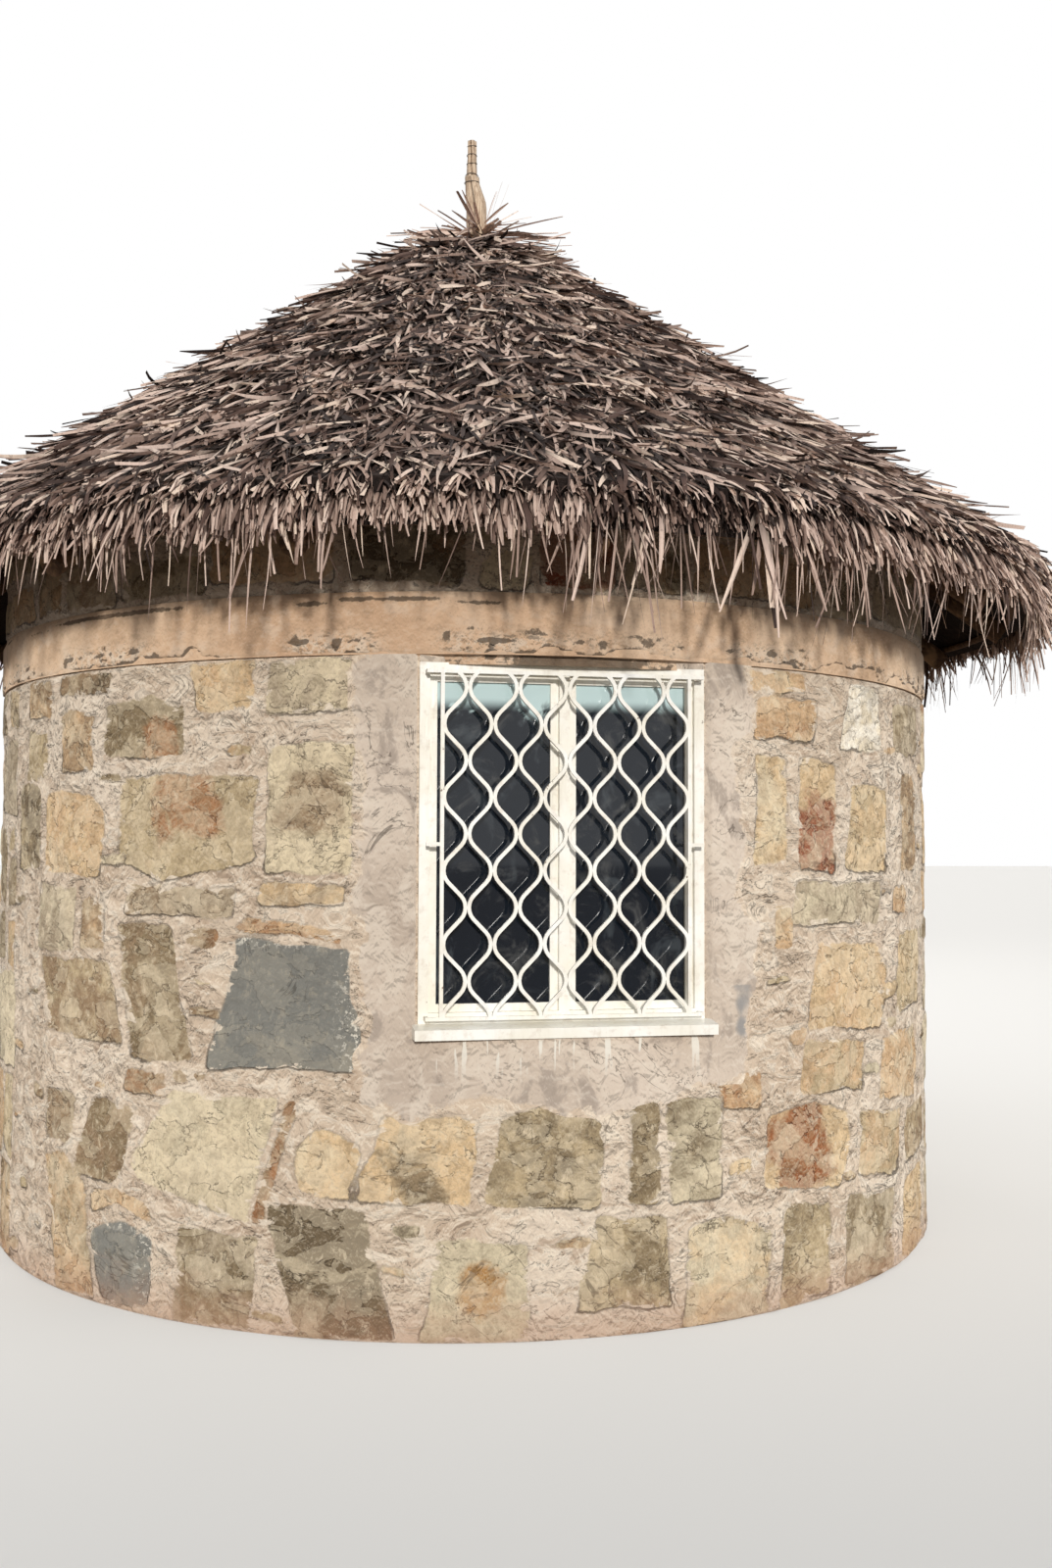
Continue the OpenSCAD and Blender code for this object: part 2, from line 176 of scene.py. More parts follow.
HALF_ROUND = math.pi * WALL_R
WINDOW_EDGE = WALL_R * math.asin(WINDOW_HALF / WALL_R)
DOOR_EDGE = HALF_ROUND - WALL_R * math.asin(DOOR_HALF / WALL_R)
print("the wall is %.2f m round" % (2 * HALF_ROUND))

# %% [markdown]
# Irregular surfaces need noise that is the same on every run. This is value noise: random numbers on a
# lattice, smoothly mixed between the lattice points. Several sizes of it added together give rough plaster.

# %% Seeded noise
LATTICE = np.random.default_rng(7).random((64, 64, 64))


def value_noise(points, size):
    """Smooth noise from -1 to 1, with features about as large as size, for an array of points."""
    cell = np.asarray(points, float) / size
    low = np.floor(cell).astype(int)
    part = cell - low
    part = part * part * (3 - 2 * part)
    total = np.zeros(len(cell))
    for corner in range(8):
        step = np.array([corner & 1, corner >> 1 & 1, corner >> 2 & 1])
        weight = np.prod(np.where(step, part, 1 - part), axis=1)
        x, y, z = ((low + step) % 64).T
        total += weight * LATTICE[x, y, z]
    return 2 * total - 1


def rough(points, size, octaves=3):
    return sum(value_noise(points, size / 2**i) / 2**i for i in range(octaves))


def spots(u, z, layer=0.0):
    """Places for noise on the unrolled wall; another layer gives other noise at the same place."""
    return np.column_stack([u, z, np.full(len(u), layer)])


def smooth_step(value, low, high):
    share = np.clip((value - low) / (high - low), 0, 1)
    return share * share * (3 - 2 * share)


# %% [markdown]
# Materials are node trees. A small class keeps them readable, with short methods that add noise, turn a value
# into colours, mix, darken and add bump. Colours are written as the eye sees them, from 0 to 255, and changed
# to the linear values that the shader works with.

# %% Material helpers
def colour(r, g, b):
    def linear(c):
        c /= 255
        return c / 12.92 if c <= 0.04045 else ((c + 0.055) / 1.055) ** 2.4
    return (linear(r), linear(g), linear(b), 1.0)


# Finishes rougher than this are as dusty as dry earth, which looks nearly as light at its sides as in front.
EARTHY = 0.84


class Paint:
    """A material under construction, with its shader and its output already joined."""

    def __init__(self, name, roughness=0.8, metallic=0.0):
        self.material = bpy.data.materials.new(name)
        self.material.use_nodes = True
        self.tree = self.material.node_tree
        self.shader = self.tree.nodes["Principled BSDF"]
        self.shader.inputs["Roughness"].default_value = roughness
        self.shader.inputs["Metallic"].default_value = metallic
        if roughness > EARTHY:
            self.shader.inputs["Diffuse Roughness"].default_value = 1.0
        self.coords = self.node("ShaderNodeTexCoord").outputs["Object"]

    def join(self, value, socket):
        """Joins a node's output to a socket, or gives the socket a plain value."""
        if isinstance(value, (int, float, tuple)):
            socket.default_value = value
        else:
            self.tree.links.new(value, socket)

    def node(self, kind, sockets=None, **settings):
        """Adds a node; sockets gives inputs, by name or number, a plain value or another node's output."""
        made = self.tree.nodes.new(kind)
        for key, value in settings.items():
            setattr(made, key, value)
        for key, value in (sockets or {}).items():
            self.join(value, made.inputs[key])
        return made

    def stretch(self, x, y, z):
        return self.node("ShaderNodeMapping", {"Vector": self.coords, "Scale": (x, y, z)}).outputs["Vector"]

    def height(self):
        return self.node("ShaderNodeSeparateXYZ", {"Vector": self.coords}).outputs["Z"]

    def attribute(self, name, output="Fac"):
        return self.node("ShaderNodeAttribute", attribute_name=name).outputs[output]

    def noise(self, scale, detail=4, roughness=0.55, distortion=0.0, vector=None):
        return self.node("ShaderNodeTexNoise", {
            "Vector": vector or self.coords, "Scale": scale, "Detail": detail,
            "Roughness": roughness, "Distortion": distortion,
        }).outputs["Fac"]

    def facing_down(self, scale, detail, roughness, distortion, step):
        """How much farther the roughness stands out a step above each place than it does there."""
        lifted = self.node("ShaderNodeVectorMath", {0: self.coords, 1: (0, 0, step)}, operation="ADD")
        above = self.noise(scale, detail, roughness, distortion, lifted.outputs["Vector"])
        return self.maths("SUBTRACT", above, self.noise(scale, detail, roughness, distortion))

    def ramp(self, value, *stops):
        """Turns a value into colours; each stop is a place from 0 to 1 and a colour as the eye sees it."""
        made = self.node("ShaderNodeValToRGB", {"Fac": value})
        elements = made.color_ramp.elements
        while len(elements) < len(stops):
            elements.new(0.5)
        for element, (place, *shade) in zip(elements, stops):
            element.position = place
            element.color = colour(*shade)
        return made.outputs["Color"]

    def mask(self, value, low, high, share=1.0):
        """Goes smoothly from 0 to share as the value goes from low to high; low may be the larger."""
        return self.node("ShaderNodeMapRange", {
            "Value": value, "From Min": low, "From Max": high, "To Max": share,
        }, interpolation_type="SMOOTHSTEP").outputs["Result"]

    def crossing(self, value, outer, inner):
        """1 along the lines where a noise crosses its middle value, 0 beyond the outer distance from it."""
        away = self.maths("ABSOLUTE", self.maths("SUBTRACT", value, 0.5), 0.0)
        return self.mask(away, outer, inner)

    def maths(self, operation, a, b):
        return self.node("ShaderNodeMath", {0: a, 1: b}, operation=operation).outputs["Value"]

    def times(self, first, *others):
        for other in others:
            first = self.maths("MULTIPLY", first, other)
        return first

    def add(self, first, *others):
        for other in others:
            first = self.maths("ADD", first, other)
        return first

    def swing(self, value, amount):
        """Moves a noise so that it varies round 0, and multiplies it by an amount."""
        return self.times(self.maths("SUBTRACT", value, 0.5), amount)

    def mix(self, factor, a, b, blend="MIX"):
        made = self.node("ShaderNodeMix", {0: factor, 6: a, 7: b}, data_type="RGBA", blend_type=blend)
        return made.outputs[2]

    def darken(self, factor, base, amount):
        """Multiplies the colour by amount where factor is 1, and makes it a little warmer."""
        warm = (amount, amount * 0.97, amount * 0.94, 1)
        return self.mix(factor, base, self.mix(1.0, base, warm, "MULTIPLY"))

    def finish(self, base, height=None, depth=0.01, roughness=None):
        self.join(base, self.shader.inputs["Base Color"])
        if roughness is not None:
            self.join(roughness, self.shader.inputs["Roughness"])
        if height is not None:
            bump = self.node("ShaderNodeBump", {"Height": height, "Distance": depth, "Strength": 1.0})
            self.join(bump.outputs["Normal"], self.shader.inputs["Normal"])
        return self.material


def dress(material, *nodes):
    """Gives CAD nodes a material and leaves their shapes alone."""
    for name in nodes:
        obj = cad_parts[name]
        obj.data.materials.clear()
        obj.data.materials.append(material)


# %% [markdown]
# The mortar is pale pinkish earth and lime, smeared by hand in ragged layers. Its colour drifts from cream
# to dusty pink, and red soil has splashed up on the lowest hand's breadth. The same colours are needed by the
# wall's face and by the thin rims of the plaster, so they are a function.

# %% Mortar
SOIL = colour(176, 134, 106)


def soiled(p, base, noise):
    """Red soil near the ground, more where the noise is high."""
    low = p.mask(p.add(p.height(), p.times(noise, -0.28)), 0.06, -0.16, 0.45)
    return p.mix(low, base, SOIL)


def mortar_noise(p):
    """The slow drift of the colour, the smeared layers and a fine-grained noise whose pits are darkened as
    painted shade.
    """
    return p.noise(1.7, 3), p.noise(7, 6, 0.62, 1.3, p.stretch(1, 1, 1.7)), p.noise(110, 4, 0.62)


def painted_relief_light(p, base, down, highlight, shade_share, highlight_share):
    """Painted shade under each lump and a painted highlight on its upper side, as if lit from above, so
    roughness shows at any distance.
    """
    base = p.darken(p.mask(down, 0.015, 0.070, shade_share), base, 0.56)
    return p.mix(p.mask(down, -0.020, -0.075, highlight_share), base, highlight)


def mortar_colour(p, drift, smear, grain_and_pit_shade):
    base = p.ramp(drift, (0.32, 203, 184, 162), (0.5, 214, 197, 176), (0.68, 221, 207, 189))
    base = p.mix(p.mask(smear, 0.53, 0.60, 0.7), base, colour(232, 220, 202))
    base = p.mix(p.mask(smear, 0.44, 0.38, 0.7), base, colour(186, 164, 141))
    # A painted shadow line along the edge of each torn layer of mortar.
    torn = p.times(p.mask(smear, 0.594, 0.604), p.mask(smear, 0.636, 0.618))
    base = p.darken(p.times(torn, p.mask(drift, 0.46, 0.53)), base, 0.52)
    crack = p.crossing(p.noise(4.5, 5, 0.60, 0.9, p.stretch(1, 1, 2.4)), 0.012, 0.003)
    base = p.darken(p.times(crack, p.mask(smear, 0.54, 0.48)), base, 0.42)
    lumpy = p.add(p.mask(p.noise(2.9, 3, 0.55, 0.5), 0.42, 0.56, 0.55), 0.30)
    down = p.facing_down(16, 6, 0.66, 0.6, 0.007)
    # Painted shade under lumps and painted highlight on their upper sides.
    base = painted_relief_light(p, base, down, colour(240, 230, 213), lumpy, 0.50)
    # Small pits darkened as painted shade.
    return p.darken(p.mask(grain_and_pit_shade, 0.56, 0.70, 0.6), base, 0.78)


def flakes(p, smear):
    """Height of mortar in a few torn layers, with lumps and softer roughness on them."""
    fine = p.noise(16, 6, 0.66, 0.6)
    layers = p.add(p.mask(smear, 0.44, 0.49, 0.40), p.mask(smear, 0.58, 0.63, 0.40))
    return p.add(layers, p.mask(fine, 0.47, 0.62, 0.24), p.times(fine, 0.42))


def make_mortar():
    p = Paint("smeared_mortar", 0.93)
    drift, smear, grain_and_pit_shade = mortar_noise(p)
    base = soiled(p, mortar_colour(p, drift, smear, grain_and_pit_shade), smear)
    return p.finish(base, flakes(p, smear), 0.008)


MORTAR = make_mortar()

# %% [markdown]
# The wall's face is one skin with stones and mortar in it, because on the real wall the mortar was wiped over
# the stones' rims and no stone has a clean outline. The skin carries, for each point, how far it lies from
# the nearest rim and what colours that stone has. The material breaks the rim up with noise finer than the
# mesh, and paints stone on one side of it and mortar on the other. Dark joints stand open along some rims;
# their extra darkness under the stones is painted shade.

# %% Stone
def stained_rock(p, mottle, calm):
    """Each stone's colour and stain, clouded, with its pits darkened as painted shade and its lumps given
    painted shade and highlight; a slate is calm, and has less of it.
    """
    amount = p.attribute("stain_amount")
    stained = p.mask(p.add(p.noise(6.5, 6, 0.6, 0.9), p.swing(amount, 0.5)), 0.40, 0.64)
    broken = p.add(p.mask(mottle, 0.58, 0.42, 0.32), 0.68)
    rock = p.mix(p.times(stained, broken), p.attribute("tone", "Color"), p.attribute("stain", "Color"))
    broad = p.noise(3.6, 6, 0.62, 0.7)
    rock = p.darken(p.mask(broad, 0.51, 0.57, p.times(calm, 0.55)), rock, 0.76)
    rock = p.mix(p.mask(broad, 0.46, 0.40, p.times(calm, 0.40)), rock, colour(226, 210, 180))
    rock = p.darken(p.mask(mottle, 0.51, 0.56, p.times(calm, 0.75)), rock, 0.76)
    rock = p.mix(p.mask(mottle, 0.44, 0.38, p.times(calm, 0.55)), rock, colour(230, 215, 187))
    # Small pits darkened as painted shade.
    rock = p.darken(p.mask(p.noise(80, 5, 0.72), 0.53, 0.58, p.times(calm, 0.7)), rock, 0.74)
    down = p.facing_down(26, 6, 0.70, 0.4, 0.006)
    # Painted shade under lumps and painted highlight on their upper sides.
    return painted_relief_light(p, rock, down, colour(228, 214, 188), p.times(calm, 0.42), p.times(calm, 0.25))


def split_rock(p, rock, drift, mottle, calm):
    """The stone with a paler upper layer, a painted shadow line along that layer's broken edge, and where
    that layer lies.
    """
    layer = p.noise(6.0, 5, 0.58, 0.5, p.stretch(1, 1, 1.5))
    upper = p.mask(layer, 0.515, 0.525)
    rock = p.mix(p.times(upper, calm, 0.22), rock, colour(236, 222, 194))
    # A painted shadow line along the step where the upper layer breaks off.
    layer_edge_shadow = p.times(p.mask(layer, 0.497, 0.509), p.mask(layer, 0.523, 0.513))
    rock = p.darken(p.times(layer_edge_shadow, p.mask(mottle, 0.54, 0.46), calm), rock, 0.50)
    crack = p.crossing(p.noise(3.2, 5, 0.55, 1.6), 0.010, 0.003)
    rock = p.darken(p.times(crack, p.mask(drift, 0.48, 0.54)), rock, 0.55)
    flecks = p.mask(p.noise(60, 4, 0.66), 0.55, 0.60, p.attribute("fleck"))
    return p.mix(flecks, rock, colour(222, 216, 202)), upper


# %% Rubble stone in mortar
def make_wall_face():
    p = Paint("rubble_in_mortar", 0.88)
    drift, smear, grain_and_pit_shade = mortar_noise(p)
    mottle = p.noise(26, 6, 0.70, 0.4)
    lime = mortar_colour(p, drift, smear, grain_and_pit_shade)
    edge = p.attribute("edge")
    calm = p.maths("SUBTRACT", 1.0, p.times(p.attribute("slate"), 0.7))
    ragged = p.add(edge, p.times(p.swing(mottle, calm), 0.030))
    rock, upper = split_rock(p, stained_rock(p, mottle, calm), drift, mottle, calm)
    pale_overlay = p.mask(p.add(smear, p.times(edge, 5.0)), 0.51, 0.55, 0.88)
    base = p.mix(p.mask(ragged, 0.002, -0.006), lime, p.mix(pale_overlay, rock, lime))
    # Dark open joints along some rims, darker under the stones as painted shade.
    rim = p.times(p.mask(ragged, -0.0060, -0.0025), p.mask(ragged, 0.0045, 0.0005), p.attribute("joint"))
    base = soiled(p, p.darken(p.times(rim, 0.9), base, 0.36), smear)
    lumps = p.add(p.times(mottle, 1.1), p.times(p.noise(9, 5, 0.62, 1.2), 0.9), p.times(upper, 0.5), -0.67)
    soft = p.mask(ragged, 0.007, -0.010)
    lime_height = p.times(p.maths("SUBTRACT", 1.0, soft), flakes(p, smear))
    height = p.add(p.times(soft, lumps), lime_height, p.times(rim, -0.8), p.times(grain_and_pit_shade, 0.10))
    return p.finish(base, height, 0.012)


WALL_FACE = make_wall_face()

# %% [markdown]
# The ring beam's render is smooth and earth-coloured, with pits where it broke away, darkened as painted
# shade. The plaster round the window is greyer, wiped on with a trowel, and splashed with white paint below
# the sill. The floor is concrete.

# %% Render, plaster and concrete
def make_beam():
    p = Paint("beam_render", 0.9)
    drift = p.noise(2.4, 4, 0.55, 0.6)
    blotch = p.noise(11, 5, 0.6)
    grain_and_pit_shade = p.noise(130, 4, 0.6)
    base = p.ramp(drift, (0.32, 206, 174, 142), (0.5, 218, 189, 158), (0.68, 224, 200, 173))
    base = p.mix(p.mask(blotch, 0.54, 0.66, 0.7), base, colour(222, 200, 176))
    base = p.darken(p.mask(blotch, 0.46, 0.36, 0.6), base, 0.76)
    # Where the lower edge is worn, paler render shows with small pits in it, darkened as painted shade.
    worn = p.attribute("worn")
    base = p.mix(p.mask(p.noise(38, 5, 0.68), 0.46, 0.54, p.times(worn, 0.8)), base, colour(226, 210, 190))
    down = p.facing_down(24, 5, 0.66, 0.0, 0.006)
    # Painted shade under lumps and painted highlight on their upper sides.
    base = painted_relief_light(p, base, down, colour(228, 208, 184), p.add(p.times(worn, 0.7), 0.20), 0.3)
    small_shaded_pits = p.mask(p.noise(26, 3, 0.55, 0.0, p.stretch(1, 1, 2.0)), 0.61, 0.64, worn)
    base = p.darken(small_shaded_pits, base, 0.30)
    # Painted shade in the pits and the seam's groove, and a painted shadow under the ragged lower edge.
    pit = p.attribute("pit")
    crumbled = p.times(p.swing(p.noise(42, 5, 0.66), 1.6), p.mask(pit, 0.0, 0.2))
    base = p.darken(p.mask(p.add(pit, crumbled), 0.24, 0.46), base, 0.32)
    # Small pits darkened as painted shade.
    base = p.darken(p.mask(grain_and_pit_shade, 0.58, 0.74), base, 0.76)
    trowel = p.noise(5, 6, 0.62, 0.8, p.stretch(1, 1, 2.5))
    return p.finish(base, p.add(p.times(trowel, 1.4), blotch, p.times(grain_and_pit_shade, 0.16)), 0.008)


def make_plaster():
    p = Paint("cement_plaster", 0.92)
    drift, smear, grain_and_pit_shade = mortar_noise(p)
    trowel = p.noise(6, 6, 0.60, 0.7, p.stretch(1.2, 1.2, 0.8))
    cement = p.ramp(drift, (0.34, 197, 182, 166), (0.5, 211, 197, 181), (0.64, 219, 206, 191))
    cement = p.mix(p.mask(trowel, 0.52, 0.60, 0.6), cement, colour(224, 213, 198))
    cement = p.mix(p.mask(trowel, 0.46, 0.38, 0.7), cement, colour(170, 156, 143))
    down = p.facing_down(16, 6, 0.66, 0.6, 0.008)
    lumpy = p.add(p.mask(trowel, 0.46, 0.54, 0.45), 0.15)
    # Painted shade under lumps and painted highlight on their upper sides.
    cement = painted_relief_light(p, cement, down, colour(228, 219, 206), lumpy, 0.35)
    crack = p.crossing(p.noise(3.4, 5, 0.6, 1.2), 0.009, 0.002)
    cement = p.darken(p.times(crack, p.mask(drift, 0.50, 0.56)), cement, 0.50)
    cement = p.mix(p.mask(p.attribute("wet_grey"), 0.35, 0.75), cement, colour(158, 154, 150))
    # Small pits darkened as painted shade.
    cement = p.darken(p.mask(grain_and_pit_shade, 0.60, 0.76), cement, 0.80)
    cover = p.add(p.attribute("cover"), p.swing(p.noise(14, 6, 0.7), 1.9))
    base = p.mix(p.mask(cover, 0.42, 0.56), mortar_colour(p, drift, smear, grain_and_pit_shade), cement)
    streaks = p.noise(46, 2, 0.5, 0.0, p.stretch(1, 1, 0.10))
    base = p.mix(p.mask(streaks, 0.60, 0.63, p.attribute("under_sill")), base, colour(232, 228, 218))
    height = p.add(trowel, p.times(p.noise(26, 5, 0.6, 0.5), 0.7), p.times(grain_and_pit_shade, 0.12))
    return p.finish(base, height, 0.006)


def make_concrete():
    p = Paint("floated_concrete", 0.9)
    base = p.ramp(p.noise(3, 5), (0.3, 128, 122, 114), (0.7, 160, 152, 142))
    return p.finish(base, p.noise(90, 4), 0.003)


BEAM_RENDER = make_beam()
PLASTER = make_plaster()
CONCRETE = make_concrete()
walls = ["wall_%s_%d" % (side, i) for side in ("east", "west") for i in range(1, 6)]
heads = ["wall_head_" + side for side in ("front", "east", "back", "west")]
dress(MORTAR, *walls, *heads, "wall_under_window")
dress(BEAM_RENDER, "ring_beam")
dress(PLASTER, "window_plaster", "door_plaster")
dress(CONCRETE, "floor_slab", "door_threshold")

# %% [markdown]
# The camera comes early, so that each step can be judged against the photograph. A point on the horizon line
# gives the pitch, the wall's silhouettes give the distance, and the window's place gives the angle round
# the hut. The lens follows from the focal length in pixels.

# %% Camera
PHOTO_W = 1073
PHOTO_H = 1600
FOCAL_PX = 1500
HORIZON_Y = 865
AXIS_X = 478
CAMERA_AWAY = 6.75
CAMERA_UP = 1.575
CAMERA_ROUND = math.radians(-9.3)
ROLL = math.radians(0.2)

camera_data = bpy.data.cameras.new("camera")
camera_data.sensor_width = 36
camera_data.lens = FOCAL_PX / PHOTO_H * camera_data.sensor_width
camera_data.clip_end = 200
camera = bpy.data.objects.new("camera", camera_data)
bpy.context.scene.collection.objects.link(camera)
bpy.context.scene.camera = camera
pitch = math.atan((HORIZON_Y - PHOTO_H / 2) / FOCAL_PX)
turn = CAMERA_ROUND - math.atan((PHOTO_W / 2 - AXIS_X) / FOCAL_PX)
camera.location = (CAMERA_AWAY * math.sin(CAMERA_ROUND), -CAMERA_AWAY * math.cos(CAMERA_ROUND), CAMERA_UP)
level = Matrix.Rotation(turn, 3, "Z") @ Matrix.Rotation(math.pi / 2 + pitch, 3, "X")
camera.rotation_euler = (level @ Matrix.Rotation(ROLL, 3, "Z")).to_euler()
print("lens %.1f mm, pitch %.2f degrees" % (camera_data.lens, math.degrees(pitch)))

# %% [markdown]
# Rubble stones are laid from a list given for the side that shows: each stone has its colour and its
# corners on the unrolled wall, in metres. The rest of the wall is laid by a rule that fills rows with stones
# of mixed widths. The joints are wide, and large flat faces lie with small ones in between.

# %% Stone colours
KHAKI = colour(196, 177, 142)
OLIVE = colour(147, 129, 99)
DARK_OLIVE = colour(116, 100, 76)
YELLOW = colour(221, 195, 155)
TAN = colour(211, 179, 140)
CREAM = colour(224, 210, 180)
WHITE = colour(252, 246, 232)
SLATE = colour(132, 131, 124)
RUST = colour(172, 124, 84)
ORANGE_RUST = colour(150, 86, 40)
OCHRE = colour(178, 132, 72)
BRICK = colour(150, 80, 50)
BROWN = colour(160, 135, 105)
GREY = colour(188, 172, 147)
PALE_GREEN = colour(210, 198, 170)
STONE_COLOURS = [KHAKI, OLIVE, KHAKI, YELLOW, TAN, CREAM, BROWN, GREY, PALE_GREEN, OLIVE, TAN, DARK_OLIVE]

